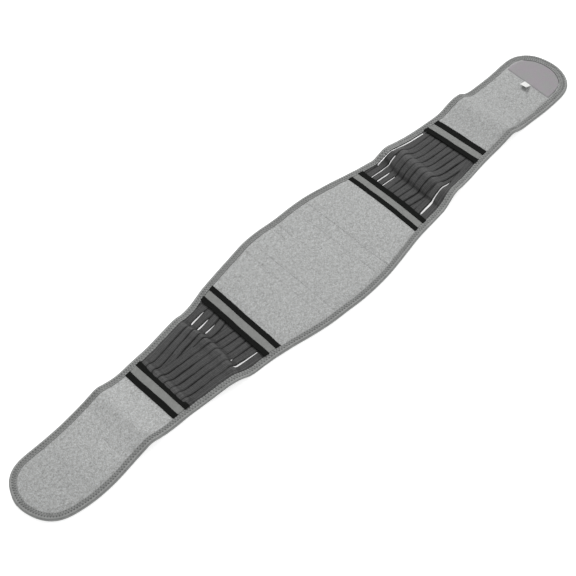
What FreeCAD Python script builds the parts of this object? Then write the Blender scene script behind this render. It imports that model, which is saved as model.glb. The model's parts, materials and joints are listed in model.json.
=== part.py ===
import FreeCAD, Part
import Sketcher
import math
import os

# Lumbar support belt, laid open with the wearer's side up.
# Frame: X runs along the belt, Y across its height, +Z up out of the wearer's side.
# Origin: middle of the back section, on the plane the belt lies on. Millimetres.
#
# Along X, from the middle outwards on each side:
#   back section | flex line | side section + inner junction | elastic bands |
#   outer junction | front section | flex line | end section
# The +X pieces ("right") are modelled and the -X ones ("left") are their mirror images.

Vector = FreeCAD.Vector
doc = FreeCAD.newDocument("lumbar_support_belt")

# ---------------------------------------------------------------- dimensions
CELLS = [
    # stations along the belt
    ("back_edge", 85.25),            # end of the rigid back section
    ("side_start", 86.75),           # side section, past the flex line
    ("side_end", 153.0),
    ("side_foam_end", 125.5),        # foam stops before the junction stay
    ("elastic_start", 154.5),        # edge binding along the elastic bands
    ("elastic_end", 262.5),
    ("outer_start", 264.0),          # outer junction
    ("outer_end", 294.5),
    ("front_start", 297.5),          # front section
    ("front_end", 391.25),
    ("tip_start", 392.75),           # end section
    ("tip_curve", 447.0),            # where the rounded end begins
    ("tip_end", 496.0),
    # half heights of the outline at those stations
    ("half_mid", 88.0),
    ("half_back", 80.7),
    ("half_side_start", 80.4),
    ("half_side_end", 68.8),
    ("half_elastic_start", 68.5),
    ("half_elastic_end", 55.3),
    ("half_outer_start", 55.2),
    ("half_outer_end", 53.2),
    ("half_front_start", 53.0),
    ("half_front_end", 52.3),
    ("half_tip_start", 52.2),
    ("half_tip_curve", 52.0),
    ("edge_radius", 501.4),          # long curve of the back section's edges
    ("tip_radius", 50.5),            # rounded ends
    # thicknesses and levels in the stack
    ("web", 0.8),                    # edge binding cloth
    ("flange", 9.5),                 # visible width of the binding
    ("foam_level", 1.8),             # underside of the foam
    ("inner_level", 4.0),            # underside of the skin-side face
    ("top_level", 5.0),              # top of the skin-side face
    ("stack_top", 5.8),              # top of the binding
    ("trim_top", 6.3),
    ("strap_low", 2.2),
    ("strap_high", 3.7),
    # elastic bands
    ("strap_start", 138.0),
    ("strap_end", 277.0),
    ("half_strap_start", 66.5),
    ("half_strap_end", 50.5),
    ("strap_gap", 0.5),
    # rises along X: peak position, height, and reach before and after the peak
    ("hump_peak", 201.0),
    ("hump_rise", 12.0),
    ("hump_before", 28.0),
    ("hump_after", 44.0),
    ("ridge_peak", 334.0),
    ("ridge_rise", 9.5),
    ("ridge_before", 34.0),
    ("ridge_after", 42.0),
    ("ply_gap", 0.15),               # clearance of the padded layers in a curved binding
    # junction tapes, with the outline's half heights at their ends
    ("inner_tape_start", 126.0),
    ("inner_tape_end", 151.6),
    ("outer_tape_start", 266.0),
    ("outer_tape_end", 293.0),
    ("half_inner_tape_start", 73.55),
    ("half_inner_tape_end", 69.05),
    ("half_outer_tape_start", 55.05),
    ("half_outer_tape_end", 53.3),
    ("tape_inset", 10.2),            # a tape ends this far inside the outline
    ("trim_wide", 7.6),
    ("outer_tape_low", 3.9),         # underside of the outer junction tape
    # stays
    ("stay_thick", 1.6),
    ("stay_low", 2.1),
    ("back_stay_x", 48.0),
    ("back_stay_wide", 14.0),
    ("back_stay_half", 68.0),
    ("pocket_wide", 16.0),
    ("pocket_half", 71.0),
    ("inner_stay_x", 131.5),
    ("outer_stay_x", 284.0),
    ("junction_stay_wide", 8.0),
    ("inner_stay_half", 59.0),
    ("outer_stay_half", 43.0),
    ("stay_round", 3.5),
    # closure patch
    ("patch_start", 439.5),
    ("patch_inset", 10.2),
    ("patch_thick", 0.7),
    ("half_patch_start", 41.8),
    # size tag
    ("tag_long", 15.0),
    ("tag_wide", 11.5),
    ("tag_ply", 0.35),
    ("tag_loop", 1.6),               # height of the folded ribbon
    ("tag_setback", 0.6),            # from the patch's straight edge to the tag
    ("tag_lift", 0.5),               # above the patch
    ("tag_tilt", 20.0),              # degrees
    ("tag_y", -2.5),
]
STRAP_COUNT = 11
OVERCUT = 1.0           # how far a cutting tool reaches past what it cuts
TRIM_MARGIN = 10.0      # how far a trimming frame reaches past its sheet
CURVE_STEP = 7.0        # approximate spacing of points on a wavy sheet


class Size:
    """A number together with the spreadsheet expression that drives it."""

    def __init__(self, text, value):
        self.text = text
        self.value = value

    def __add__(self, other):
        other = as_size(other)
        return Size("(%s + %s)" % (self.text, other.text), self.value + other.value)

    def __sub__(self, other):
        other = as_size(other)
        return Size("(%s - %s)" % (self.text, other.text), self.value - other.value)

    def __mul__(self, factor):
        return Size("(%s * (%.6f))" % (self.text, factor), self.value * factor)

    def __neg__(self):
        return Size("(-%s)" % self.text, -self.value)


def as_size(number):
    return number if isinstance(number, Size) else Size("(%.6f)" % number, number)


class Dims:
    """Holds each cell of the sheet as a Size attribute."""


dims = Dims()
sheet = doc.addObject("Spreadsheet::Sheet", "dims")
for row, (alias, number) in enumerate(CELLS, 1):
    sheet.set("A%d" % row, alias)
    sheet.set("B%d" % row, str(number))
    sheet.setAlias("B%d" % row, alias)
    setattr(dims, alias, Size("dims." + alias, number))
doc.recompute()

BASE = as_size(0.0)
NO_INSET = as_size(0.0)

# ---------------------------------------------------------------- sketch helpers
START, END = 1, 2       # point numbers on a sketch element
ORIGIN = (-1, START)
X_AXIS = -1


def sketch_on(body, role, name, lift=None):
    sketch = body.newObject("Sketcher::SketchObject", name)
    plane = [f for f in body.Origin.OriginFeatures if f.Role == role][0]
    sketch.AttachmentSupport = (plane, [""])
    sketch.MapMode = "FlatFace"
    if lift is not None:
        sketch.AttachmentOffset = FreeCAD.Placement(Vector(0, 0, lift.value), FreeCAD.Rotation())
        sketch.setExpression("AttachmentOffset.Base.z", lift.text)
    return sketch


def drive(sketch, size, kind, *ends):
    """Adds a dimension bound to the sheet."""
    index = sketch.addConstraint(Sketcher.Constraint(kind, *ends, size.value))
    name = "d%d" % index
    sketch.renameConstraint(index, name)
    sketch.setExpression("Constraints." + name, size.text)


def fix_point(sketch, element, end, x, y):
    drive(sketch, x, "DistanceX", *ORIGIN, element, end)
    drive(sketch, y, "DistanceY", *ORIGIN, element, end)


def close_loop(sketch, first, count, backward=()):
    """Joins consecutive elements in a ring; those in backward run against it."""
    for k in range(count):
        following = (k + 1) % count
        leave = START if k in backward else END
        enter = END if following in backward else START
        sketch.addConstraint(
            Sketcher.Constraint("Coincident", first + k, leave, first + following, enter))


def line(x1, y1, x2, y2):
    return Part.LineSegment(Vector(x1, y1, 0), Vector(x2, y2, 0))


def arc(x, y, radius, start, end):
    return Part.ArcOfCircle(Part.Circle(Vector(x, y, 0), Vector(0, 0, 1), radius), start, end)


def quad(sketch, x_start, x_end, low_start, high_start, low_end, high_end):
    """Four-sided region with both ends parallel to Y."""
    first = sketch.GeometryCount
    corners = [(x_start, low_start), (x_start, high_start), (x_end, high_end), (x_end, low_end)]
    points = [Vector(x.value, y.value, 0) for x, y in corners]
    sketch.addGeometry(
        [Part.LineSegment(points[k], points[(k + 1) % 4]) for k in range(4)], False)
    close_loop(sketch, first, 4)
    for k, (x, y) in enumerate(corners):
        fix_point(sketch, first + k, START, x, y)


def taper(sketch, x_start, x_end, half_start, half_end):
    quad(sketch, x_start, x_end, -half_start, half_start, -half_end, half_end)


# ---------------------------------------------------------------- section outlines
def back_outline(sketch, inset):
    """Straight ends and two long curves; the inset draws in only the curves."""
    x, y = dims.back_edge, dims.half_back - inset
    radius = dims.edge_radius
    centre_y = (dims.half_mid - inset).value - radius.value
    angle = math.asin((y.value - centre_y) / radius.value)
    sketch.addGeometry(
        [
            line(-x.value, -y.value, -x.value, y.value),
            arc(0, centre_y, radius.value, angle, math.pi - angle),
            line(x.value, -y.value, x.value, y.value),
            arc(0, -centre_y, radius.value, math.pi + angle, 2 * math.pi - angle),
        ],
        False,
    )
    close_loop(sketch, 0, 4, backward=(1, 2, 3))
    for element, end_x in ((0, -x), (2, x)):
        fix_point(sketch, element, START, end_x, -y)
        fix_point(sketch, element, END, end_x, y)
    for element in (1, 3):
        drive(sketch, radius, "Radius", element)


def side_outline(sketch, inset):
    taper(sketch, dims.side_start, dims.side_end,
          dims.half_side_start - inset, dims.half_side_end - inset)


def outer_outline(sketch, inset):
    taper(sketch, dims.outer_start, dims.outer_end,
          dims.half_outer_start - inset, dims.half_outer_end - inset)


def rounded_outline(sketch, x_start, half_start, inset):
    """Straight inner end, nearly straight edges and an end rounded by two arcs."""
    x_curve, x_end = dims.tip_curve, dims.tip_end - inset
    half_curve, radius = dims.half_tip_curve - inset, dims.tip_radius - inset
    # each arc's centre, from the chord between the edge and the belt's end
    run, rise = x_end.value - x_curve.value, half_curve.value
    chord = math.hypot(run, rise)
    reach = math.sqrt(radius.value ** 2 - (chord / 2) ** 2)
    centre_x = (x_curve.value + x_end.value) / 2 - rise / chord * reach
    centre_y = rise / 2 - run / chord * reach
    end_angle = math.atan2(-centre_y, x_end.value - centre_x)
    edge_angle = math.atan2(rise - centre_y, x_curve.value - centre_x)
    x, y = x_start.value, half_start.value
    sketch.addGeometry(
        [
            line(x, -y, x, y),
            line(x, y, x_curve.value, rise),
            arc(centre_x, centre_y, radius.value, end_angle, edge_angle),
            arc(centre_x, -centre_y, radius.value, -edge_angle, -end_angle),
            line(x, -y, x_curve.value, -rise),
        ],
        False,
    )
    close_loop(sketch, 0, 5, backward=(2, 3, 4))
    fix_point(sketch, 0, START, x_start, -half_start)
    fix_point(sketch, 0, END, x_start, half_start)
    fix_point(sketch, 1, END, x_curve, half_curve)
    fix_point(sketch, 4, END, x_curve, -half_curve)
    drive(sketch, x_end, "DistanceX", *ORIGIN, 2, START)
    sketch.addConstraint(Sketcher.Constraint("PointOnObject", 2, START, X_AXIS))
    drive(sketch, radius, "Radius", 2)
    drive(sketch, radius, "Radius", 3)


def tip_outline(sketch, inset):
    rounded_outline(sketch, dims.tip_start, dims.half_tip_start - inset, inset)


# ---------------------------------------------------------------- flat pieces
def new_body(label):
    return doc.addObject("PartDesign::Body", label)


def pad(body, sketch, length, symmetric=False):
    feature = body.newObject("PartDesign::Pad", body.Name + "_pad")
    feature.Profile = sketch
    feature.Length = length.value
    feature.setExpression("Length", length.text)
    if symmetric:
        feature.SideType = "Symmetric"
    body.Tip = feature


def layer(label, draw, low, high):
    """A flat solid between two levels, over the plan that draw puts in its sketch."""
    body = new_body(label)
    sketch = sketch_on(body, "XY_Plane", label + "_plan", low)
    draw(sketch)
    pad(body, sketch, high - low)
    return body


def flat(label, outline, low, high, inset=dims.web):
    """A flat layer over one section's outline, drawn in by the inset."""
    return layer(label, lambda sketch: outline(sketch, inset), low, high)


def tape(label, region, low, high):
    """A flat tapering piece; region is (x start, x end, half start, half end)."""
    return layer(label, lambda sketch: taper(sketch, *region), low, high)


def cut(label, base, tool):
    result = doc.addObject("Part::Cut", label)
    result.Base = base
    result.Tool = tool
    return result


def fold(label, blank, slot, middle):
    """Opens a blank into a folded strip: a slot for the layers and a clear middle."""
    tool = doc.addObject("Part::MultiFuse", label + "_tool")
    tool.Shapes = [slot, middle]
    return cut(label, blank, tool)


def flat_binding(label, outline):
    """Edge binding: a strip folded round the outline, open towards the middle."""
    return fold(
        label,
        flat(label + "_blank", outline, BASE, dims.stack_top, NO_INSET),
        flat(label + "_slot", outline, dims.web, dims.top_level, dims.web),
        flat(label + "_middle", outline, BASE - OVERCUT, dims.stack_top + OVERCUT, dims.flange),
    )


def stay(label, x, wide, half_long):
    """A flat stay with rounded corners, standing across the belt."""
    half_wide = wide * 0.5
    region = (x - half_wide, x + half_wide, half_long, half_long)
    body = tape(label, region, dims.stay_low, dims.stay_low + dims.stay_thick)
    doc.recompute()
    block = body.Tip
    upright = [
        "Edge%d" % i
        for i, edge in enumerate(block.Shape.Edges, 1)
        if abs(edge.Vertexes[0].Z - edge.Vertexes[-1].Z) > 1.0
    ]
    fillet = body.newObject("PartDesign::Fillet", label + "_corners")
    fillet.Base = (block, upright)
    fillet.Radius = dims.stay_round.value
    fillet.setExpression("Radius", dims.stay_round.text)
    body.Tip = fillet
    return body


def trims(label, x_start, x_end, half_start, half_end):
    """Two narrow tapes along both sides of a junction tape, as separate solids."""
    share = dims.trim_wide.value / (x_end.value - x_start.value)

    def half_at(part):
        return half_start * (1 - part) + half_end * part

    def draw(sketch):
        taper(sketch, x_start, x_start + dims.trim_wide, half_start, half_at(share))
        taper(sketch, x_end - dims.trim_wide, x_end, half_at(1 - share), half_end)

    return layer(label, draw, dims.stack_top, dims.trim_top)


# ---------------------------------------------------------------- wavy pieces
def bump(x, peak, rise, before, after):
    """Smooth hill of the given rise, reaching zero before and after its peak."""
    offset = x - peak.value
    share = offset / (before if offset < 0 else after).value
    return rise.value * 0.5 * (1 + math.cos(math.pi * share)) if abs(share) < 1 else 0.0


def hump(x):
    """Rise of the elastic section."""
    return bump(x, dims.hump_peak, dims.hump_rise, dims.hump_before, dims.hump_after)


def ridge(x):
    """Rise of the front section."""
    return bump(x, dims.ridge_peak, dims.ridge_rise, dims.ridge_before, dims.ridge_after)


def wavy_curve(xs, level, rise):
    curve = Part.BSplineCurve()
    curve.interpolate(Points=[Vector(x, level.value + rise(x), 0) for x in xs])
    return curve


def wavy_sheet(label, x_start, x_end, low, high, rise):
    """A sheet that follows the rise along X, between two levels, as wide as the belt."""
    body = new_body(label)
    sketch = sketch_on(body, "XZ_Plane", label + "_profile")
    first, last = x_start.value, x_end.value
    steps = max(4, int(round((last - first) / CURVE_STEP)))
    xs = [first + (last - first) * k / steps for k in range(steps + 1)]
    rise_start, rise_end = rise(xs[0]), rise(xs[-1])
    low_start, high_start = low + rise_start, high + rise_start
    low_end, high_end = low + rise_end, high + rise_end
    sketch.addGeometry(
        [
            wavy_curve(xs, high, rise),
            line(xs[-1], high_end.value, xs[-1], low_end.value),
            wavy_curve(xs[::-1], low, rise),
            line(xs[0], low_start.value, xs[0], high_start.value),
        ],
        False,
    )
    close_loop(sketch, 0, 4)
    fix_point(sketch, 1, START, x_end, high_end)
    fix_point(sketch, 1, END, x_end, low_end)
    fix_point(sketch, 3, START, x_start, low_start)
    fix_point(sketch, 3, END, x_start, high_start)
    pad(body, sketch, dims.half_mid * 2, symmetric=True)
    return body


def trim_to(body, suffix, quads, x_start, x_end):
    """Cuts away everything outside the given regions."""
    sketch = sketch_on(body, "XY_Plane", body.Name + suffix)
    frame_half = dims.half_mid + TRIM_MARGIN
    taper(sketch, x_start - TRIM_MARGIN, x_end + TRIM_MARGIN, frame_half, frame_half)
    for corners in quads:
        quad(sketch, *corners)
    pocket = body.newObject("PartDesign::Pocket", body.Name + suffix + "_cut")
    pocket.Profile = sketch
    pocket.Type = "ThroughAll"
    pocket.SideType = "Symmetric"
    body.Tip = pocket


def wavy_layer(label, region, low, high, rise, inset):
    """A wavy sheet trimmed to a tapering region, drawn in by the inset."""
    x_start, x_end, half_start, half_end = region
    body = wavy_sheet(label, x_start, x_end, low, high, rise)
    near, far = half_start - inset, half_end - inset
    trim_to(body, "_plan", [(x_start, x_end, -near, near, -far, far)], x_start, x_end)
    return body


def wavy_binding(label, region, rise):
    """Edge binding over a wavy section."""
    x_start, x_end, half_start, half_end = region
    longer = (x_start - OVERCUT, x_end + OVERCUT, half_start, half_end)
    return fold(
        label,
        wavy_layer(label + "_blank", region, BASE, dims.stack_top, rise, NO_INSET),
        wavy_layer(label + "_slot", longer, dims.web, dims.top_level, rise, dims.web),
        wavy_layer(label + "_middle", longer, BASE - OVERCUT, dims.stack_top + OVERCUT,
                   rise, dims.flange),
    )


def straps(label):
    """Elastic bands side by side, each its own solid, closing in towards the outer junction."""
    x_start, x_end = dims.strap_start, dims.strap_end
    body = wavy_sheet(label, x_start, x_end, dims.strap_low, dims.strap_high, hump)
    half_gap = dims.strap_gap * 0.5
    bands = []
    for i in range(STRAP_COUNT):
        low = -1 + 2.0 * i / STRAP_COUNT
        high = -1 + 2.0 * (i + 1) / STRAP_COUNT
        bands.append((
            x_start, x_end,
            dims.half_strap_start * low + half_gap, dims.half_strap_start * high - half_gap,
            dims.half_strap_end * low + half_gap, dims.half_strap_end * high - half_gap,
        ))
    trim_to(body, "_bands", bands, x_start, x_end)
    return body


# ---------------------------------------------------------------- sections
def back_foam():
    """Foam with a pocket for each of the two stays."""
    def draw_pockets(sketch):
        half_wide = dims.pocket_wide * 0.5
        for x in (-dims.back_stay_x, dims.back_stay_x):
            taper(sketch, x - half_wide, x + half_wide, dims.pocket_half, dims.pocket_half)

    blank = flat("back_foam_blank", back_outline, dims.foam_level, dims.inner_level)
    pockets = layer("back_stay_pockets", draw_pockets,
                    dims.foam_level - OVERCUT, dims.inner_level + OVERCUT)
    return cut("back_foam_core", blank, pockets)


def back_section():
    """Outer face, foam, skin-side inner face and edge binding."""
    return [
        flat("back_outer_face", back_outline, dims.web, dims.foam_level),
        back_foam(),
        flat("back_inner_face", back_outline, dims.inner_level, dims.top_level),
        flat_binding("back_edge_binding", back_outline),
    ]


def back_stay():
    return [stay("back_stay_right", dims.back_stay_x, dims.back_stay_wide, dims.back_stay_half)]


def side_section():
    foam_region = (dims.side_start, dims.side_foam_end,
                   dims.half_side_start - dims.web, dims.half_inner_tape_start - dims.web)
    return [
        flat("side_outer_face_right", side_outline, dims.web, dims.foam_level),
        tape("side_foam_core_right", foam_region, dims.foam_level, dims.inner_level),
        flat("side_inner_face_right", side_outline, dims.inner_level, dims.top_level),
        flat_binding("side_edge_binding_right", side_outline),
    ]


def inner_junction():
    region = (dims.inner_tape_start, dims.inner_tape_end,
              dims.half_inner_tape_start - dims.tape_inset,
              dims.half_inner_tape_end - dims.tape_inset)
    return [
        tape("inner_junction_tape_right", region, dims.top_level, dims.stack_top),
        trims("inner_junction_trims_right", *region),
        stay("inner_junction_stay_right", dims.inner_stay_x, dims.junction_stay_wide,
             dims.inner_stay_half),
    ]


def elastic_section():
    region = (dims.elastic_start, dims.elastic_end,
              dims.half_elastic_start, dims.half_elastic_end)
    return [
        straps("elastic_straps_right"),
        wavy_binding("elastic_edge_binding_right", region, hump),
    ]


def outer_junction():
    region = (dims.outer_tape_start, dims.outer_tape_end,
              dims.half_outer_tape_start - dims.tape_inset,
              dims.half_outer_tape_end - dims.tape_inset)
    return [
        tape("outer_junction_tape_right", region, dims.outer_tape_low, dims.stack_top),
        trims("outer_junction_trims_right", *region),
        stay("outer_junction_stay_right", dims.outer_stay_x, dims.junction_stay_wide,
             dims.outer_stay_half),
        flat("outer_junction_backing_right", outer_outline, dims.web, dims.foam_level),
        flat_binding("outer_junction_binding_right", outer_outline),
    ]


def front_section():
    """Padded layers and binding that rise together in a soft ridge across the belt."""
    region = (dims.front_start, dims.front_end, dims.half_front_start, dims.half_front_end)
    levels = [
        ("outer_face", dims.web + dims.ply_gap, dims.foam_level),
        ("foam_core", dims.foam_level, dims.inner_level),
        ("inner_face", dims.inner_level, dims.top_level - dims.ply_gap),
    ]
    inset = dims.web + dims.ply_gap
    pieces = [
        wavy_layer("front_%s_right" % name, region, low, high, ridge, inset)
        for name, low, high in levels
    ]
    return pieces + [wavy_binding("front_edge_binding_right", region, ridge)]


def end_section():
    return [
        flat("tip_outer_face_right", tip_outline, dims.web, dims.foam_level),
        flat("tip_foam_core_right", tip_outline, dims.foam_level, dims.inner_level),
        flat("tip_inner_face_right", tip_outline, dims.inner_level, dims.top_level),
        flat_binding("tip_edge_binding_right", tip_outline),
    ]


def hook_patch():
    """Hook patch on the wearer's side of the right-hand end, inside the binding."""
    def draw(sketch):
        rounded_outline(sketch, dims.patch_start, dims.half_patch_start, dims.patch_inset)

    return layer("hook_patch", draw, dims.top_level, dims.top_level + dims.patch_thick)


def size_tag():
    """A ribbon folded on itself at the patch's straight edge, rising towards -X."""
    body = new_body("size_tag")
    sketch = sketch_on(body, "XZ_Plane", "size_tag_profile")
    ply, loop = dims.tag_ply.value, dims.tag_loop.value
    radius = loop / 2
    root = -dims.tag_setback.value
    bend = -dims.tag_long.value + radius
    quarter = math.pi / 2
    sketch.addGeometry(
        [
            line(root, 0, bend, 0),
            arc(bend, radius, radius, quarter, 3 * quarter),
            line(bend, loop, root, loop),
            line(root, loop, root, loop - ply),
            line(root, loop - ply, bend, loop - ply),
            arc(bend, radius, radius - ply, quarter, 3 * quarter),
            line(bend, ply, root, ply),
            line(root, ply, root, 0),
        ],
        False,
    )
    close_loop(sketch, 0, 8, backward=(1,))
    for element in (0, 2, 4, 6):
        sketch.addConstraint(Sketcher.Constraint("Horizontal", element))
    for element in (3, 7):
        sketch.addConstraint(Sketcher.Constraint("Vertical", element))
    drive(sketch, dims.tag_long - dims.tag_loop * 0.5, "DistanceX", 0, END, *ORIGIN)
    drive(sketch, dims.tag_ply, "DistanceY", 7, END, 7, START)
    pad(body, sketch, dims.tag_wide, symmetric=True)
    seat = dims.top_level + dims.patch_thick + dims.tag_lift
    body.Placement = FreeCAD.Placement(
        Vector(dims.patch_start.value, dims.tag_y.value, seat.value),
        FreeCAD.Rotation(Vector(0, 1, 0), dims.tag_tilt.value),
    )
    return body


def mirrored(source):
    """The left-hand twin of a right-hand piece."""
    mirror = doc.addObject("Part::Mirroring", source.Label.replace("_right", "_left"))
    mirror.Source = source
    mirror.Normal = (1, 0, 0)
    return mirror


pieces = back_section()
for section in (back_stay, side_section, inner_junction, elastic_section,
                outer_junction, front_section, end_section):
    for piece in section():
        pieces += [piece, mirrored(piece)]
pieces += [hook_patch(), size_tag()]
nodes = {piece.Label: piece for piece in pieces}

doc.recompute()

# ---------------------------------------------------------------- checks and export
problems = []
for item in doc.Objects:
    if any(word in ("Invalid", "Error") for word in item.State):
        problems.append("%s is %s" % (item.Name, item.State))
for name, piece in nodes.items():
    shape = piece.Shape
    if shape.isNull() or not shape.isValid() or not shape.Solids:
        problems.append("%s has no valid solid" % name)
    elif min(solid.Volume for solid in shape.Solids) < 1.0:
        problems.append("%s has a solid under a cubic millimetre" % name)
if problems:
    raise SystemExit("\n".join(problems))

os.makedirs("parts", exist_ok=True)
for name, piece in sorted(nodes.items()):
    piece.Shape.exportStep("parts/%s.step" % name)
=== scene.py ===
import bpy
import json
import math
import numpy as np
from mathutils import Matrix, Vector


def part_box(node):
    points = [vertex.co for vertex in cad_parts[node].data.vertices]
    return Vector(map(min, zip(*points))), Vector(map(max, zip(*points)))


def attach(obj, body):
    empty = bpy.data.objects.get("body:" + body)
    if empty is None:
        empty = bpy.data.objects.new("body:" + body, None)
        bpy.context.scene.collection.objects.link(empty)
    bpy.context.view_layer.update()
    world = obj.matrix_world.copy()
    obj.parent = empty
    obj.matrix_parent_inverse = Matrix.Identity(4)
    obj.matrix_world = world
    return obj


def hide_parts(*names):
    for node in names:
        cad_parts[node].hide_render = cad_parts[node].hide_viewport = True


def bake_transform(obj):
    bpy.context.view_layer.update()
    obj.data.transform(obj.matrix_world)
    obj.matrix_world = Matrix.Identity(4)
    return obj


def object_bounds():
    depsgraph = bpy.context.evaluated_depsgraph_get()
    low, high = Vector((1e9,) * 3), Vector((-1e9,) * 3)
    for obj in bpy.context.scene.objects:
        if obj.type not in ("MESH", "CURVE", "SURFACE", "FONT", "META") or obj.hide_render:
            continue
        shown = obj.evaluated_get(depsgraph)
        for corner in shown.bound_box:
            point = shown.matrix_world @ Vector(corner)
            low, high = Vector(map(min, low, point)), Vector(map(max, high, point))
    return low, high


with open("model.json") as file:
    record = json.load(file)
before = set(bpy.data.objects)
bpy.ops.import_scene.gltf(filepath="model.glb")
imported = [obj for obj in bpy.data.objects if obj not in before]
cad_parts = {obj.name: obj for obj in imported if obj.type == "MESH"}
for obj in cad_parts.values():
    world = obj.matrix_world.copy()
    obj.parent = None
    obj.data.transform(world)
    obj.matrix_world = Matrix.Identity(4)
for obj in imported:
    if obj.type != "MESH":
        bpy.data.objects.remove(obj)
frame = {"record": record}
CAD_LO, CAD_HI = [list(v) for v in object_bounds()]
scene = bpy.context.scene
MM = 0.001


def cad(node):
    """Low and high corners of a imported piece, in millimetres."""
    lo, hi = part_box(node)
    return [v / MM for v in lo], [v / MM for v in hi]


# ------------------------------------------------------------------ driving dimensions
HALF_LENGTH = CAD_HI[0] / MM
LINING_TOP = cad("back_inner_face")[1][2]
BINDING_TOP = cad("back_edge_binding")[1][2]
FACE_LO, FACE_HI = (corner[2] for corner in cad("back_outer_face"))
FOAM_LO, FOAM_HI = (corner[2] for corner in cad("back_foam_core"))
TRIM_START = cad("inner_junction_trims_right")[0][0]
TRIM_END = cad("outer_junction_trims_right")[1][0]

FLANGE = 9.5                  # width of the binding's legs, from the sewn edge
ROLL = 2.9                    # radius of the binding where it turns over the edge
TAPE_ROUND = 2 * (FLANGE - ROLL) + math.pi * ROLL
ROW_IN, ROW_OUT = 1.8, 5.1    # zigzag rows, measured round the tape from its inner top edge
TURNS = ((0.5, ROW_IN), (0.0, ROW_OUT))     # phase and row of the zigzag's turns
LAYER_INSET = 3.2             # lining, foam and outer face end this far inside the edge

SIDES = (("right", 1), ("left", -1))
# distances from the middle where the binding and the straps are cut into lengths
SPLIT = {"back": 58.5, "side": 132.0, "elastic": 192.0, "outer": 278.0, "front": 361.0}
# joint: body before it, body after it, start and end of the bend
JOINTS = {
    "side": ("back_centre", "side_%s", 60, 112),
    "inner_straps": ("side_%s", "elastic_%s", 152, 186),
    "outer_straps": ("elastic_%s", "outer_junction_%s", 192, 262),
    "front": ("outer_junction_%s", "front_%s", 290, 332),
    "tip": ("front_%s", "tip_%s", 365, 420),
}
# how far the crossing tapes lean, in x per y
LEAN = {"inner": {"right": 0.024, "left": 0.015}, "outer": {"right": -0.036, "left": -0.010}}
# side, number, x and groove depth of the sewn channels across the back section
CHANNELS = (
    ("right", 1, 37.3, 0.22),
    ("right", 2, 57.2, 0.50),
    ("left", 1, -42.0, 0.14),
    ("left", 2, -59.0, 0.22),
)
CHANNEL_X = tuple(row[2] for row in CHANNELS)
CENTRE_X = (-6.1, 3.4)        # two short seams in the upper middle
STAY_X = 48.0                 # stays of the back section
POCKET_HALF_WIDTH, POCKET_HALF_LENGTH = 8.0, 71


def patch_start(y):
    """x of the straight edge of the hook patch."""
    return 439.6 + 0.07 * y


# ------------------------------------------------------------------ curves
def pchip(points):
    """Monotone cubic through {x: y}; returns a function of an array."""
    xs = np.array(sorted(points), float)
    ys = np.array([points[k] for k in sorted(points)], float)
    gap = np.diff(xs)
    rise = np.diff(ys) / gap
    slope = np.zeros(len(xs))
    slope[0], slope[-1] = rise[0], rise[-1]
    for i in range(1, len(xs) - 1):
        if rise[i - 1] * rise[i] > 0:
            w1 = 2 * gap[i] + gap[i - 1]
            w2 = gap[i] + 2 * gap[i - 1]
            slope[i] = (w1 + w2) / (w1 / rise[i - 1] + w2 / rise[i])

    def curve(x):
        x = np.clip(np.asarray(x, float), xs[0], xs[-1])
        i = np.clip(np.searchsorted(xs, x, side="right") - 1, 0, len(xs) - 2)
        t = (x - xs[i]) / gap[i]
        return ((1 + 2 * t) * (1 - t) ** 2 * ys[i] + t * (1 - t) ** 2 * gap[i] * slope[i]
                + t * t * (3 - 2 * t) * ys[i + 1] + t * t * (t - 1) * gap[i] * slope[i + 1])

    return curve


def smooth(t):
    t = np.clip(t, 0, 1)
    return t * t * (3 - 2 * t)


def window(x, start, end, soft):
    return smooth((x - start) / soft + 0.5) * smooth((end - x) / soft + 0.5)


# ------------------------------------------------------------------ sewn outline
# y of the upper and of the lower edge, at x = -440, -430 ... 440
STATIONS = np.arange(-440, 441, 10).astype(float)
UPPER = np.array([
    46.8, 46.3, 46.6, 47.2, 47.1, 47.8, 49.0, 50.2, 51.3, 52.1, 52.1, 51.2, 52.0, 52.9, 52.4,
    52.0, 53.8, 55.7, 56.4, 56.1, 56.9, 57.3, 59.0, 59.8, 61.0, 63.1, 62.9, 63.6, 66.8, 69.7,
    72.0, 73.3, 74.8, 76.5, 77.7, 79.0, 81.0, 82.8, 84.5, 86.4, 87.5, 87.7, 87.7, 87.7, 86.2,
    85.5, 85.8, 86.5, 85.5, 84.8, 83.7, 82.6, 80.6, 78.8, 76.1, 75.0, 72.9, 70.2, 68.2, 67.1,
    66.1, 64.2, 61.8, 60.9, 60.2, 60.6, 62.6, 61.0, 59.3, 58.4, 57.4, 55.9, 54.6, 53.4, 53.2,
    53.3, 53.2, 53.0, 52.4, 51.5, 50.2, 49.6, 49.4, 49.1, 48.7, 48.6, 48.9, 49.3, 50.4])
LOWER = -np.array([
    55.7, 57.9, 58.3, 58.1, 58.0, 57.3, 56.1, 54.4, 52.9, 52.0, 52.2, 53.6, 53.2, 52.2, 52.4,
    54.0, 53.5, 53.0, 53.8, 55.5, 57.3, 58.8, 60.4, 61.7, 63.7, 65.4, 66.9, 67.5, 67.6, 68.5,
    70.8, 71.9, 73.5, 75.1, 77.5, 79.7, 81.3, 82.7, 84.3, 85.5, 85.6, 85.7, 87.1, 88.2, 88.1,
    88.3, 88.1, 87.4, 86.7, 85.8, 84.6, 82.7, 80.9, 79.3, 77.4, 75.5, 73.6, 72.5, 72.2, 70.6,
    69.6, 69.1, 68.1, 66.0, 64.0, 61.8, 59.9, 58.6, 57.8, 56.2, 54.8, 53.8, 53.0, 52.3, 51.3,
    50.9, 51.4, 52.3, 52.3, 51.9, 51.5, 51.5, 51.7, 52.4, 53.1, 53.4, 54.0, 54.1, 53.1])
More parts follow.
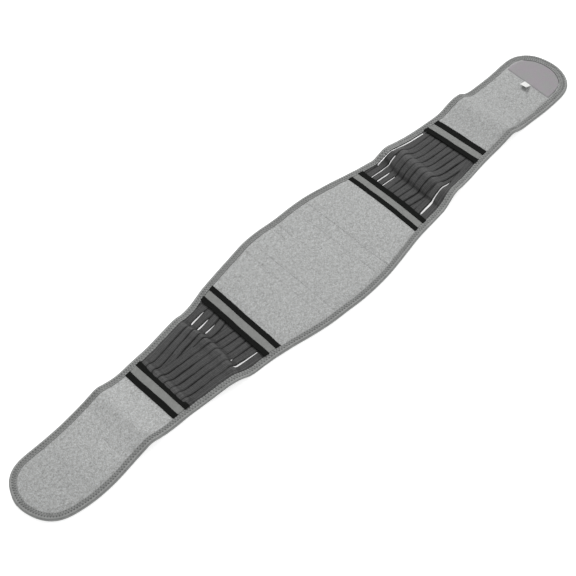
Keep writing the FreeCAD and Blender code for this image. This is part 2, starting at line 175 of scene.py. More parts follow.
# radii of the rounded ends about their centres, every 10 degrees from lower to upper edge
TIP_ANGLES = np.radians(np.arange(-90, 91, 10))
TIP_LEFT = [51.5, 51.0, 50.3, 49.7, 48.9, 47.1, 46.5, 45.7, 45.2, 46.8,
            46.9, 46.7, 48.2, 49.7, 51.0, 52.0, 51.4, 51.1, 50.6]
TIP_RIGHT = [52.5, 53.2, 54.3, 55.2, 55.1, 54.8, 53.5, 52.9, 52.4, 51.8,
             51.4, 52.6, 53.9, 54.0, 54.2, 54.2, 53.5, 52.2, 51.2]
TIP_CENTRE = {"left": (-445.0, -3.47), "right": (447.0, -0.55)}
DRAWN_HALF = 496.0            # half length of the outline as measured
NOMINAL_STITCH = 3.85         # one zigzag, before it is fitted to the whole round


def relax(ring):
    """Averages each row of a closed ring with its neighbours."""
    return (np.roll(ring, 1, 0) + 2 * ring + np.roll(ring, -1, 0)) / 4


def outline():
    """Closed sewn edge, counterclockwise from above, in steps of a quarter stitch.

    Returns points, outward normals, arc lengths, total length and stitch period."""
    rx, ry = TIP_CENTRE["right"]
    lx, ly = TIP_CENTRE["left"]
    points = [(rx + r * math.cos(a), ry + r * math.sin(a))
              for a, r in zip(TIP_ANGLES, TIP_RIGHT)]
    points += zip(STATIONS[::-1][1:-1], UPPER[::-1][1:-1])
    points += [(lx - r * math.cos(a), ly + r * math.sin(a))
               for a, r in zip(TIP_ANGLES[::-1], TIP_LEFT[::-1])]
    points += zip(STATIONS[1:-1], LOWER[1:-1])
    ring = relax(relax(np.array(points))) * [HALF_LENGTH / DRAWN_HALF, 1.0]
    # Catmull-Rom curve through the points
    t = np.linspace(0, 1, 24, endpoint=False)[None, :, None]
    a, b, c, d = (np.roll(ring, shift, 0)[:, None, :] for shift in (1, 0, -1, -2))
    fine = 0.5 * (2 * b + (c - a) * t + (2 * a - 5 * b + 4 * c - d) * t ** 2
                  + (3 * b - a - 3 * c + d) * t ** 3)
    fine = fine.reshape(-1, 2)
    arc = np.concatenate([[0], np.cumsum(np.linalg.norm(np.roll(fine, -1, 0) - fine, axis=1))])
    total = arc[-1]
    stitches = round(total / NOMINAL_STITCH)
    count = stitches * 4
    at = np.arange(count) * total / count
    closed = np.vstack([fine, fine[:1]])
    edge = np.stack([np.interp(at, arc, closed[:, k]) for k in (0, 1)], 1)
    tangent = np.roll(edge, -1, 0) - np.roll(edge, 1, 0)
    for _ in range(3):
        tangent = relax(tangent)
    tangent /= np.linalg.norm(tangent, axis=1)[:, None]
    normal = np.stack([tangent[:, 1], -tangent[:, 0]], 1)
    return edge, normal, at, total, total / stitches


EDGE, NORMAL, ARC, LENGTH, PERIOD = outline()


def inset_edges(inset):
    """Upper and lower edge as functions of x, and the end x's, inside the sewn edge."""
    ring = EDGE - NORMAL * inset
    right, left = int(ring[:, 0].argmax()), int(ring[:, 0].argmin())
    upper = ring[right:left + 1]
    lower = np.vstack([ring[left:], ring[:right + 1]])
    upper = upper[np.argsort(upper[:, 0])]
    lower = lower[np.argsort(lower[:, 0])]
    return ((lambda x: np.interp(x, upper[:, 0], upper[:, 1])),
            (lambda x: np.interp(x, lower[:, 0], lower[:, 1])), ring[left, 0], ring[right, 0])


edge_upper, edge_lower = inset_edges(0.0)[:2]


def edge_distance(x, y):
    """How far a point lies inside the sewn edge."""
    points = np.stack([np.ravel(x), np.ravel(y)], 1)
    out = np.empty(len(points))
    edge = EDGE[::2]
    for i in range(0, len(points), 4000):
        apart = points[i:i + 4000, None, :] - edge[None]
        out[i:i + 4000] = np.sqrt((apart ** 2).sum(2).min(1))
    return out.reshape(np.shape(x))


# ------------------------------------------------------------------ how the belt lies
# {x: height above the table}; the upper and lower edges share two stretches
LEFT_FOLD = {-500: 0, -376: 0, -366: .2, -354: 1.5, -342: 5, -331: 8.4, -328: 8.2, -318: 4.5,
             -306: 1, -296: 0}
BACK_RISE = {-152: 0, -140: .5, -120: 2, -90: 4, -60: 4, -30: 2, 0: .5, 30: .5, 60: 1.5,
             100: 1.5, 125: .5, 152: 0, 176: 0}
LIFT_UPPER = pchip({
    **LEFT_FOLD, -262: 0, -256: .2, -245: 1, -230: 3, -215: 4, -200: 4.5, -190: 3, -182: .5,
    -170: 0, **BACK_RISE, 184: 4, 192: 9, 198: 10.5, 206: 9, 216: 5, 226: 2, 240: .3, 252: 0,
    300: 0, 310: 1.3, 320: 4.8, 330: 8.6, 338: 10.4, 346: 10.3, 351: 8.2, 356.5: 4.4, 363: 1.6,
    372: .3, 380: 0, 500: 0})
LIFT_LOWER = pchip({
    **LEFT_FOLD, -262: 0, -252: 1, -240: 3, -225: 6, -210: 8, -200: 7.5, -192: 5, -184: 1.5,
    -172: 0, **BACK_RISE, 186: 2, 194: 5, 204: 7.5, 214: 6.5, 226: 3, 240: 1, 256: 0, 300: 0,
    312: 1.3, 324: 4.6, 334: 8.3, 341: 10.0, 348: 8.8, 354: 5.6, 361: 2.6, 370: .6, 380: 0,
    500: 0})
# {x: thickness of the bound edge}
THICKNESS = pchip({
    -500: BINDING_TOP, -285: BINDING_TOP, -268: 4.0, -255: 3.2, -165: 3.2, -150: 4.0,
    -138: BINDING_TOP, 138: BINDING_TOP, 150: 4.0, 165: 3.2, 255: 3.2, 268: 4.0,
    285: BINDING_TOP, 500: BINDING_TOP})


def lift(x, y):
    """Height of the underside; only the upper edge of the back section stands off the table."""
    upper, lower = edge_upper(x), edge_lower(x)
    t = np.clip((y - lower) / np.maximum(upper - lower, 1.0), 0, 1)
    back = window(np.asarray(x, float), -150, 150, 30)
    share = t * (1 - back) + back * t ** 1.5
    return LIFT_LOWER(x) * (1 - t) * (1 - back) + LIFT_UPPER(x) * share


# ------------------------------------------------------------------ mesh making
def make(name, verts, faces, uv, material, flat=()):
    """Smooth-shaded mesh object; flat lists the faces that stay flat."""
    verts = np.asarray(verts, float)
    me = bpy.data.meshes.new(name)
    me.from_pydata((verts * MM).tolist(), [], np.asarray(faces).tolist()
                   if isinstance(faces, np.ndarray) else faces)
    layer = me.uv_layers.new(name="flat")
    corners = np.empty(len(me.loops), np.int32)
    me.loops.foreach_get("vertex_index", corners)
    layer.data.foreach_set("uv", (np.asarray(uv, float)[corners] / 100.0)
                           .astype(np.float32).ravel())
    shade = np.ones(len(me.polygons), bool)
    shade[np.asarray(flat, int)] = False
    me.polygons.foreach_set("use_smooth", shade)
    me.validate()
    me.update()
    # end caps on the split planes must not bend the shading where two lengths meet
    across = np.abs(verts[:, 0])
    cut = np.any([np.abs(across - plane) < 1e-3 for plane in SPLIT.values()], axis=0)
    if cut.any():
        ends = np.empty(2 * len(me.edges), np.int32)
        me.edges.foreach_get("vertices", ends)
        ends = ends.reshape(-1, 2)
        sharp = (me.attributes.get("sharp_edge")
                 or me.attributes.new("sharp_edge", "BOOLEAN", "EDGE"))
        sharp.data.foreach_set("value", cut[ends[:, 0]] & cut[ends[:, 1]])
    ob = bpy.data.objects.new(name, me)
    scene.collection.objects.link(ob)
    me.materials.append(material)
    return ob


def sheet_faces(idx, keep):
    """Upward quads of a grid of vertex numbers, where keep is true."""
    return np.stack([idx[:-1, :-1][keep], idx[1:, :-1][keep],
                     idx[1:, 1:][keep], idx[:-1, 1:][keep]], 1)


def slab(name, X, Y, top_z, bottom_z, material, mask=None):
    """Closed sheet on a grid: rows run along +X, columns along +Y."""
    rows, cols = X.shape
    count = rows * cols
    idx = np.arange(count).reshape(rows, cols)
    keep = np.ones((rows - 1, cols - 1), bool) if mask is None else mask
    top = sheet_faces(idx, keep)
    bottom = top[:, [0, 3, 2, 1]] + count
    padded = np.zeros((rows + 1, cols + 1), bool)
    padded[1:-1, 1:-1] = keep
    walls = []
    ii, jj = np.nonzero(keep)
    # step to the neighbouring cell, then the two corners of the shared side
    for di, dj, first, last in ((-1, 0, (0, 1), (0, 0)), (1, 0, (1, 0), (1, 1)),
                                (0, -1, (0, 0), (1, 0)), (0, 1, (1, 1), (0, 1))):
        bare = ~padded[ii + 1 + di, jj + 1 + dj]
        i, j = ii[bare], jj[bare]
        p = idx[i + first[0], j + first[1]]
        q = idx[i + last[0], j + last[1]]
        walls.append(np.stack([p + count, q + count, q, p], 1))
    faces = np.vstack([top, bottom, *walls])
    verts = np.vstack([np.stack([X.ravel(), Y.ravel(), z.ravel()], 1)
                       for z in (top_z, bottom_z)])
    used = np.unique(faces)
    remap = np.full(2 * count, -1)
    remap[used] = np.arange(len(used))
    flat = np.arange(len(top) + len(bottom), len(faces))
    return make(name, verts[used], remap[faces], verts[used][:, :2], material, flat)


def closed_sweep(loops):
    """Verts, outward faces and cap face numbers of a loop of points carried along rows."""
    rows, cols = loops.shape[:2]
    verts = loops.reshape(-1, 3)
    r, k = np.meshgrid(np.arange(rows - 1), np.arange(cols), indexing="ij")
    k2 = (k + 1) % cols
    faces = np.stack([r * cols + k, r * cols + k2, (r + 1) * cols + k2, (r + 1) * cols + k], -1)
    caps = []
    for row, flip in ((0, False), (rows - 1, True)):
        for i in range(cols // 2 - 1):
            quad = [row * cols + n for n in (i, cols - 1 - i, cols - 2 - i, i + 1)]
            caps.append(quad[::-1] if flip else quad)
    faces = np.vstack([faces.reshape(-1, 4), np.array(caps, int).reshape(-1, 4)])
    # the sign of the volume tells whether the faces look inwards
    a, b, c, d = (verts[faces[:, n]] for n in range(4))
    if (np.cross(a, b) * c).sum() + (np.cross(a, c) * d).sum() < 0:
        faces = faces[:, ::-1]
    return verts, faces.tolist(), list(range(len(faces) - len(caps), len(faces)))


def tube(points, radius, uv, sides=6):
    """Verts, faces and UVs of a closed thread along points."""
    p = np.asarray(points, float)
    count = len(p)
    run = np.gradient(p, axis=0)
    run /= np.maximum(np.linalg.norm(run, axis=1), 1e-9)[:, None]
    side = np.cross(run, np.tile([0, 0, 1.0], (count, 1)))
    side[np.linalg.norm(side, axis=1) < 1e-3] = [1, 0, 0]
    side /= np.maximum(np.linalg.norm(side, axis=1), 1e-9)[:, None]
    normal = np.cross(side, run)
    a = np.arange(sides) * 2 * math.pi / sides
    reach = np.broadcast_to(radius, count)[:, None, None]
    ring = (np.cos(a)[None, :, None] * side[:, None]
            + np.sin(a)[None, :, None] * normal[:, None]) * reach + p[:, None]
    r, k = np.meshgrid(np.arange(count - 1), np.arange(sides), indexing="ij")
    k2 = (k + 1) % sides
    faces = np.stack([r * sides + k, (r + 1) * sides + k, (r + 1) * sides + k2,
                      r * sides + k2], -1).reshape(-1, 4).tolist()
    faces.append(list(range(sides)))
    faces.append(list(range((count - 1) * sides, count * sides))[::-1])
    return ring.reshape(-1, 3), faces, np.repeat(np.array(uv), sides, 0)


def join(parts):
    """One mesh's verts, faces and UVs out of several."""
    faces, offset = [], 0
    for verts, part_faces, _ in parts:
        faces += [[i + offset for i in face] for face in part_faces]
        offset += len(verts)
    return np.vstack([part[0] for part in parts]), faces, np.vstack([part[2] for part in parts])


def settle(ob, home, slot, *nodes):
    """Ties a piece to a body; one given a (joint, side) only has its transform baked. The slot is
    not used.
    """
    if isinstance(home, str):
        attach(ob, home)
    else:
        joint, side = home
        before, after, start, end = JOINTS[joint]
        before = before % side if "%" in before else before
        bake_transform(ob)
    if nodes:
        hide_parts(*nodes)


# ------------------------------------------------------------------ materials
def new_material(name):
    material = bpy.data.materials.new(name)
    material.use_nodes = True
    tree = material.node_tree
    for node in list(tree.nodes):
        if node.type != "OUTPUT_MATERIAL":
            tree.nodes.remove(node)
    out = next(node for node in tree.nodes if node.type == "OUTPUT_MATERIAL")
    bsdf = tree.nodes.new("ShaderNodeBsdfPrincipled")
    tree.links.new(bsdf.outputs["BSDF"], out.inputs["Surface"])
    return material, tree, bsdf


class Net:
    """A material and a small helper that writes its node graph, in UV millimetres."""

    def __init__(self, name):
        self.material, self.tree, self.bsdf = new_material(name)
        uv = self.tree.nodes.new("ShaderNodeUVMap")
        uv.uv_map = "flat"
        self.co = self.stretched(uv.outputs["UV"], (100, 100, 100))
        self.split = None

    def axis(self, number):
        if self.split is None:
            self.split = self.tree.nodes.new("ShaderNodeSeparateXYZ")
            self.tree.links.new(self.co, self.split.inputs[0])
        return self.split.outputs[number]

    @property
    def x(self):
        return self.axis(0)

    @property
    def y(self):
        return self.axis(1)

    def put(self, socket, value):
        if hasattr(value, "is_linked"):
            self.tree.links.new(value, socket)
        else:
            socket.default_value = value

    def stretched(self, vector, factors):
        node = self.tree.nodes.new("ShaderNodeVectorMath")
        node.operation = "MULTIPLY"
        self.put(node.inputs[0], vector)
        self.put(node.inputs[1], factors)
        return node.outputs[0]

    def math(self, operation, *values):
        node = self.tree.nodes.new("ShaderNodeMath")
        node.operation = operation
        for socket, value in zip(node.inputs, values):
            self.put(socket, value)
        return node.outputs[0]

    def add(self, total, *others):
        for other in others:
            total = self.math("ADD", total, other)
        return total

    def mul(self, product, *others):
        for other in others:
            product = self.math("MULTIPLY", product, other)
        return product

    def scale(self, value, gain, offset):
        return self.math("MULTIPLY_ADD", value, gain, offset)

    def noise(self, scale, detail=3.0, rough=0.55, stretch=(1, 1, 1), distort=0.0):
        node = self.tree.nodes.new("ShaderNodeTexNoise")
        node.inputs["Scale"].default_value = scale
        node.inputs["Detail"].default_value = detail
        node.inputs["Roughness"].default_value = rough
        node.inputs["Distortion"].default_value = distort
        self.put(node.inputs["Vector"], self.stretched(self.co, stretch))
        return node.outputs[0]

    def cells(self, scale):
        node = self.tree.nodes.new("ShaderNodeTexVoronoi")
        node.inputs["Scale"].default_value = scale
        self.put(node.inputs["Vector"], self.stretched(self.co, (1, 1, 1)))
        return node.outputs["Distance"]

    def wave(self, coordinate, period, phase=0.0):
        """0..1 sine along a coordinate in mm."""
        angle = self.scale(coordinate, gain=2 * math.pi / period, offset=phase)
        return self.scale(self.math("SINE", angle), gain=0.5, offset=0.5)

    def band(self, value, start, end, low=0.0, high=1.0):
        """Smooth step from low to high as the value goes from start to end."""
        node = self.tree.nodes.new("ShaderNodeMapRange")
        node.interpolation_type = "SMOOTHSTEP"
        node.clamp = True
        self.put(node.inputs["Value"], value)
        for key, number in (("From Min", start), ("From Max", end),
                            ("To Min", low), ("To Max", high)):
            self.put(node.inputs[key], number)
        return node.outputs["Result"]

    def vary(self, value, by, start=0.3, end=0.7, base=None):
        """Noise steepened between start and end, swinging by an amount about its base or 0."""
        swing = self.band(value, start, end, low=-1, high=1)
        return self.mul(swing, by) if base is None else self.scale(swing, by, base)

    def mix(self, a, b, factor):
        node = self.tree.nodes.new("ShaderNodeMix")
        node.data_type = "RGBA"
        self.put(node.inputs["Factor"], factor)
        sockets = [s for s in node.inputs if s.type == "RGBA"]
        for socket, colour in zip(sockets, (a, b)):
            socket.default_value = (*colour, 1.0)
        return next(s for s in node.outputs if s.type == "RGBA")

    def fabric(self, rough, sheen, specular=0.15):
        """Plain values of a cloth surface."""
        self.bsdf.inputs["Roughness"].default_value = rough
        self.bsdf.inputs["Specular IOR Level"].default_value = specular
        self.bsdf.inputs["Sheen Weight"].default_value = sheen
        self.bsdf.inputs["Sheen Roughness"].default_value = 0.5

    def surface(self, colour, tone, rough, relief, depth, strength):
        """Colour times tone, a roughness socket, and a bump of some depth in mm."""
        tint = self.tree.nodes.new("ShaderNodeVectorMath")
        tint.operation = "SCALE"
        self.put(tint.inputs[0], colour)
        self.put(tint.inputs["Scale"], tone)
        self.put(self.bsdf.inputs["Base Color"], tint.outputs[0])
        self.put(self.bsdf.inputs["Roughness"], rough)
        bump = self.tree.nodes.new("ShaderNodeBump")
        bump.inputs["Strength"].default_value = strength
        bump.inputs["Distance"].default_value = depth * MM
        self.put(bump.inputs["Height"], relief)
        self.put(self.bsdf.inputs["Normal"], bump.outputs["Normal"])
        return self.material


def times(colour, factors):
    return tuple(c * f for c, f in zip(colour, factors))


def slot_colour(name, gain=1.0):
    """Base colour recorded for a slot, made brighter or darker."""
    for entry in frame["record"].get("materials", []):
        if entry.get("slot") == name:
            return tuple(c * gain for c in entry["base_color"])
    return (0.4 * gain,) * 3


# painted light and shade along the belt: the lining is darker beyond the right elastic, brighter
# beyond the left one, and darker again at the left tip, standing in for uneven light
PAINTED_LIGHT_TONE = {"right": 0.945, "left": 1.07, "tip_left": 0.90}


def marl(name, colour):
    """Heather knit: pale and dark fibres in short flecks over fine knit columns."""
    g = Net(name)
    cloud = g.noise(scale=0.13, detail=2.0, rough=0.5, distort=0.5)
    blotch = g.noise(scale=0.30, rough=0.6, stretch=(1, 0.85, 1), distort=0.5)
    fleck = g.noise(scale=0.75, detail=4.0, rough=0.62, stretch=(1.0, 0.62, 1), distort=0.3)
    fibre = g.noise(scale=2.6, rough=0.6, stretch=(1.0, 0.45, 1))
    column = g.wave(g.x, period=1.15)
    course = g.wave(g.y, period=0.9)
    knit = g.mul(column, g.scale(course, gain=0.5, offset=0.5))
    tone = g.add(g.vary(blotch, by=0.125, start=0.34, end=0.66, base=1.0),
                 g.vary(cloud, by=0.038, start=0.32, end=0.68),
                 g.vary(fleck, by=0.200, start=0.36, end=0.64),
                 g.vary(fibre, by=0.10, start=0.33, end=0.67),
                 g.scale(knit, gain=0.10, offset=-0.04))
    # painted light and shade, section by section along the belt
    painted_light = g.mul(g.band(g.x, start=140, end=300, low=1.0, high=PAINTED_LIGHT_TONE["right"]),
                g.band(g.x, start=-300, end=-140, low=PAINTED_LIGHT_TONE["left"], high=1.0),
                g.band(g.x, start=-440, end=-345, low=PAINTED_LIGHT_TONE["tip_left"], high=1.0))
    warm, cool = times(colour, (1.01, 1, 0.985)), times(colour, (0.985, 1, 1.015))
    g.fabric(rough=0.95, sheen=0.12)
    return g.surface(
        g.mix(warm, cool, g.band(fleck, start=0.4, end=0.6)), g.mul(tone, painted_light),
        rough=g.scale(fibre, gain=0.12, offset=0.86),
        relief=g.add(g.mul(knit, 0.55), g.add(g.mul(fibre, 0.8), g.mul(fleck, 0.9))),
        depth=0.28, strength=0.55)


def brushed(name, colour):
    """Brushed loop fabric of the outer face."""
    g = Net(name)
    pile = g.noise(scale=1.7, detail=5.0, rough=0.7, distort=1.4)
    patch = g.noise(scale=0.09, detail=2.0, rough=0.5)
    loop = g.cells(scale=1.1)
    tone = g.add(g.vary(pile, by=0.16, base=1.0), g.vary(patch, by=0.05),
                 g.scale(loop, gain=-0.18, offset=0.08))
    g.fabric(rough=0.97, sheen=0.3)
    return g.surface(colour, tone, rough=g.scale(pile, gain=0.1, offset=0.88),
                     relief=g.add(pile, g.mul(loop, 0.6)), depth=0.5, strength=0.7)


HOLE_REACH = (1.15, 1.6)      # outer radius of the needle holes in the two rows of TURNS


def woven_tape(name, colour):
    """Edge tape with needle holes. UV: along the edge, and round the tape from its inner top."""
    g = Net(name)
    around = g.math("MINIMUM", g.y, g.math("SUBTRACT", TAPE_ROUND, g.y))
    twill = g.wave(g.add(g.mul(g.x, 0.75), g.y), period=0.85)
    weft = g.wave(g.x, period=0.8)
    yarn = g.noise(scale=2.2, rough=0.6, stretch=(0.35, 1.2, 1))
    patch = g.noise(scale=0.12, rough=0.6)
    tone = g.add(g.vary(patch, by=0.09, base=1.10), g.vary(yarn, by=0.10),
                 g.scale(g.mul(twill, weft), gain=0.12, offset=-0.05))
    # needle holes where the zigzag turns; the tape's colour is darkened there as painted shade in
    # the holes
    holes = None
    for (phase, row), reach in zip(TURNS, HOLE_REACH):
        turn = g.math("FRACT", g.scale(g.x, gain=1.0 / PERIOD, offset=phase))
        along = g.mul(g.math("SUBTRACT", turn, 0.5), PERIOD)
        across = g.math("SUBTRACT", around, row)
        radius = g.math("SQRT", g.add(g.mul(along, along), g.mul(across, across)))
        hole = g.band(radius, start=0.35, end=reach, low=1.0, high=0.0)
        holes = hole if holes is None else g.math("MAXIMUM", holes, hole)
    # painted shade in the crease where the tape turns down over the edge, and a painted highlight
    # on the upward-facing shoulder of the roll
    crease = g.mul(g.band(around, start=7.9, end=8.7),
                   g.band(around, start=8.8, end=9.8, low=1, high=0))
    shoulder = g.mul(g.band(around, start=5.6, end=6.8),
                     g.band(around, start=7.2, end=8.2, low=1, high=0))
    tone = g.mul(tone, g.scale(holes, gain=-0.66, offset=1.0),
                 g.scale(crease, gain=-0.22, offset=1.0),
                 g.scale(shoulder, gain=0.10, offset=1.0))
    g.fabric(rough=0.9, sheen=0.12)
    return g.surface(
        colour, tone, rough=g.scale(yarn, gain=0.14, offset=0.80),
        relief=g.add(g.mul(g.mul(twill, weft), 0.8), g.add(g.mul(yarn, 0.5), g.mul(holes, -1.6))),
        depth=0.28, strength=0.7)


def thread(name, colour):
    g = Net(name)
    twist = g.wave(g.add(g.mul(g.x, 1.0), g.mul(g.y, 1.6)), period=0.7)
    fuzz = g.noise(scale=3.0, detail=2.0, rough=0.6)
    tone = g.add(g.scale(twist, gain=0.28, offset=0.84), g.vary(fuzz, by=0.05))
    g.fabric(rough=0.7, sheen=0.1)
    return g.surface(colour, tone, rough=g.scale(fuzz, gain=0.15, offset=0.6),
                     relief=twist, depth=0.12, strength=0.8)


def grosgrain(name, colour, rib, gain, sheen, specular):
    """Ribbed woven tape: ribs across its width, picks of the cross yarn between them."""
    g = Net(name)
    ribs = g.wave(g.y, period=rib)
    picks = g.wave(g.x, period=0.55)
    yarn = g.noise(scale=1.8, rough=0.6, stretch=(1.4, 0.5, 1))
    patch = g.noise(scale=0.1)
    tone = g.add(g.scale(ribs, gain=gain, offset=1.0 - gain * 0.5),
                 g.scale(g.mul(picks, ribs), gain=gain * 0.3, offset=-gain * 0.08),
                 g.vary(yarn, by=0.10), g.vary(patch, by=0.05))
    g.fabric(rough=0.85, sheen=sheen, specular=specular)
    return g.surface(colour, tone, rough=g.scale(yarn, gain=0.16, offset=0.72),
                     relief=g.add(ribs, g.add(g.mul(picks, 0.3), g.mul(yarn, 0.3))),
                     depth=0.28, strength=0.8)


# in the elastic's UV each band is 10.8 wide, starts at 8 and has its own 32.4 of height
BAND_UV_WIDTH, BAND_UV_START, BAND_UV_PITCH = 10.8, 8.0, 32.4


def ribbed_elastic(name, colour):
    """Knitted elastic: lengthwise ribs, fine cross picks, and selvedges darkened as painted shade
    where the bands overlap.
    """
    g = Net(name)
    cell = g.math("FRACT", g.mul(g.y, 1.0 / BAND_UV_PITCH))
    across = g.math("SUBTRACT", g.mul(cell, BAND_UV_PITCH), BAND_UV_START)
    rib = g.wave(across, period=BAND_UV_WIDTH / 6.0, phase=1.2)
    broad = g.wave(across, period=BAND_UV_WIDTH / 3.0, phase=1.0)
    wander = g.noise(scale=0.045, detail=2.0, rough=0.5, stretch=(0.5, 2.5, 1))
    drift = g.band(wander, start=0.35, end=0.65, low=-0.5, high=0.9)
    pick = g.wave(g.x, period=1.05)
    course = g.wave(g.x, period=2.7)
    yarn = g.noise(scale=1.3, rough=0.6, stretch=(0.8, 1.3, 1))
    slub = g.noise(scale=0.5, detail=2.0, rough=0.6, stretch=(0.7, 1.4, 1))
    patch = g.noise(scale=0.07, rough=0.6, stretch=(0.6, 1.5, 1))
    tone = g.add(g.scale(rib, gain=0.36, offset=0.82),
                 g.scale(pick, gain=0.22, offset=-0.11),
                 g.scale(course, gain=0.10, offset=-0.05),
                 g.vary(yarn, by=0.14), g.vary(slub, by=0.14), g.vary(patch, by=0.08),
                 g.scale(broad, gain=0.15, offset=-0.075))
    # painted shade along both selvedges, strongest on the lower one, where neighbouring bands
    # overlap
    tone = g.mul(tone,
                 g.band(g.add(across, drift), start=0.2, end=2.7, low=0.22, high=1.0),
                 g.band(g.add(across, drift), start=9.4, end=10.9, low=1.0, high=0.62))
    # painted light and shade from a per-vertex attribute: lighter on the crests of the fold,
    # darker in its creases and on one flank
    painted_shading = g.tree.nodes.new("ShaderNodeAttribute")
    painted_shading.attribute_name = "painted_shading"
    tone = g.scale(tone, gain=painted_shading.outputs["Fac"], offset=tone)
    g.fabric(rough=0.85, sheen=0.06, specular=0.1)
    return g.surface(colour, tone, rough=g.scale(yarn, gain=0.16, offset=0.74),
                     relief=g.add(g.mul(rib, 0.6), g.add(g.mul(pick, 0.7), g.mul(yarn, 0.4))),
                     depth=0.25, strength=0.8)


def hook_ground(name, colour):
    g = Net(name)
    rows = g.mul(g.wave(g.x, period=1.5), g.wave(g.y, period=1.5))
    weave = g.noise(scale=1.6, rough=0.6)
    patch = g.noise(scale=0.06, rough=0.6, distort=0.6)
    tone = g.add(g.scale(rows, gain=0.14, offset=0.93), g.vary(weave, by=0.045))
    first, second = times(colour, (1.03, 0.975, 1.02)), times(colour, (0.985, 1.01, 0.985))
    g.fabric(rough=0.6, sheen=0.05, specular=0.3)
    return g.surface(g.mix(first, second, g.band(patch, start=0.42, end=0.6)), tone,
                     rough=g.scale(weave, gain=0.2, offset=0.5),
                     relief=g.add(rows, g.mul(weave, 0.4)), depth=0.2, strength=0.6)


def satin(name, colour):
    g = Net(name)
    weft = g.wave(g.y, period=0.42)
    warp = g.wave(g.x, period=0.6)
    crease = g.noise(scale=0.25, detail=2.0, rough=0.5)
    tone = g.add(g.scale(weft, gain=0.05, offset=0.95), g.vary(crease, by=0.02))
    g.fabric(rough=0.45, sheen=0.1, specular=0.4)
    return g.surface(colour, tone, rough=g.scale(warp, gain=0.12, offset=0.40),
                     relief=g.add(g.mul(weft, 0.7), warp), depth=0.06, strength=0.7)


def foam(name, colour):
    g = Net(name)
    cell = g.cells(scale=0.9)
    grain = g.noise(scale=0.8, detail=4.0, rough=0.65)
    tone = g.add(g.scale(cell, gain=0.25, offset=0.86), g.vary(grain, by=0.06))
    g.fabric(rough=0.9, sheen=0.0)
    return g.surface(colour, tone, rough=g.scale(grain, gain=0.15, offset=0.8),
                     relief=cell, depth=0.4, strength=0.8)


def plastic(name, colour):
    g = Net(name)
    scuff = g.noise(scale=0.5, detail=4.0, rough=0.6, stretch=(0.3, 1.5, 1))
    flow = g.noise(scale=0.07, detail=2.0, rough=0.5)
    tone = g.add(g.scale(flow, gain=0.10, offset=0.95), g.vary(scuff, by=0.03, start=0.4))
    return g.surface(colour, tone, rough=g.scale(scuff, gain=0.25, offset=0.32),
                     relief=scuff, depth=0.05, strength=0.5)


M_MARL = marl("marl_lining", slot_colour("marl_lining"))
M_LOOP = brushed("loop_fabric", slot_colour("loop_fabric"))
M_BINDING = woven_tape("edge_binding", slot_colour("edge_binding"))
M_THREAD = thread("binding_thread", slot_colour("edge_binding", gain=1.02))
M_SEAM = thread("seam_thread", slot_colour("marl_lining", gain=0.92))
M_SEAM_DARK = thread("seam_thread_dark", slot_colour("marl_lining", gain=0.74))
# near-black thread that stands in for the shade in the groove round the hook patch's end: painted
# shadow
M_SHADOW_THREAD = thread("groove_shadow_thread", slot_colour("marl_lining", gain=0.30))
M_TAPE = grosgrain("junction_tape", slot_colour("junction_tape", gain=1.28),
                   rib=1.1, gain=0.24, sheen=0.08, specular=0.15)
M_BLACK = grosgrain("black_grosgrain", slot_colour("black_grosgrain", gain=0.60),
                    rib=1.5, gain=0.6, sheen=0.0, specular=0.06)
M_ELASTIC = ribbed_elastic("ribbed_elastic", slot_colour("ribbed_elastic", gain=1.165))
M_HOOK = hook_ground("hook_tape", slot_colour("hook_tape"))
M_HOOKS = plastic("hook_tape_hooks", slot_colour("hook_tape", gain=1.02))
M_TAG = satin("tag_ribbon", tuple(min(0.95, c) for c in slot_colour("tag_ribbon", gain=1.09)))
M_FOAM = foam("foam", slot_colour("foam"))
M_STAY = plastic("stay_plastic", slot_colour("stay_plastic"))


# ------------------------------------------------------------------ cloth simulation
RISE_FIELDS = []              # per sheet: x rows, lower and upper y, grid of heights


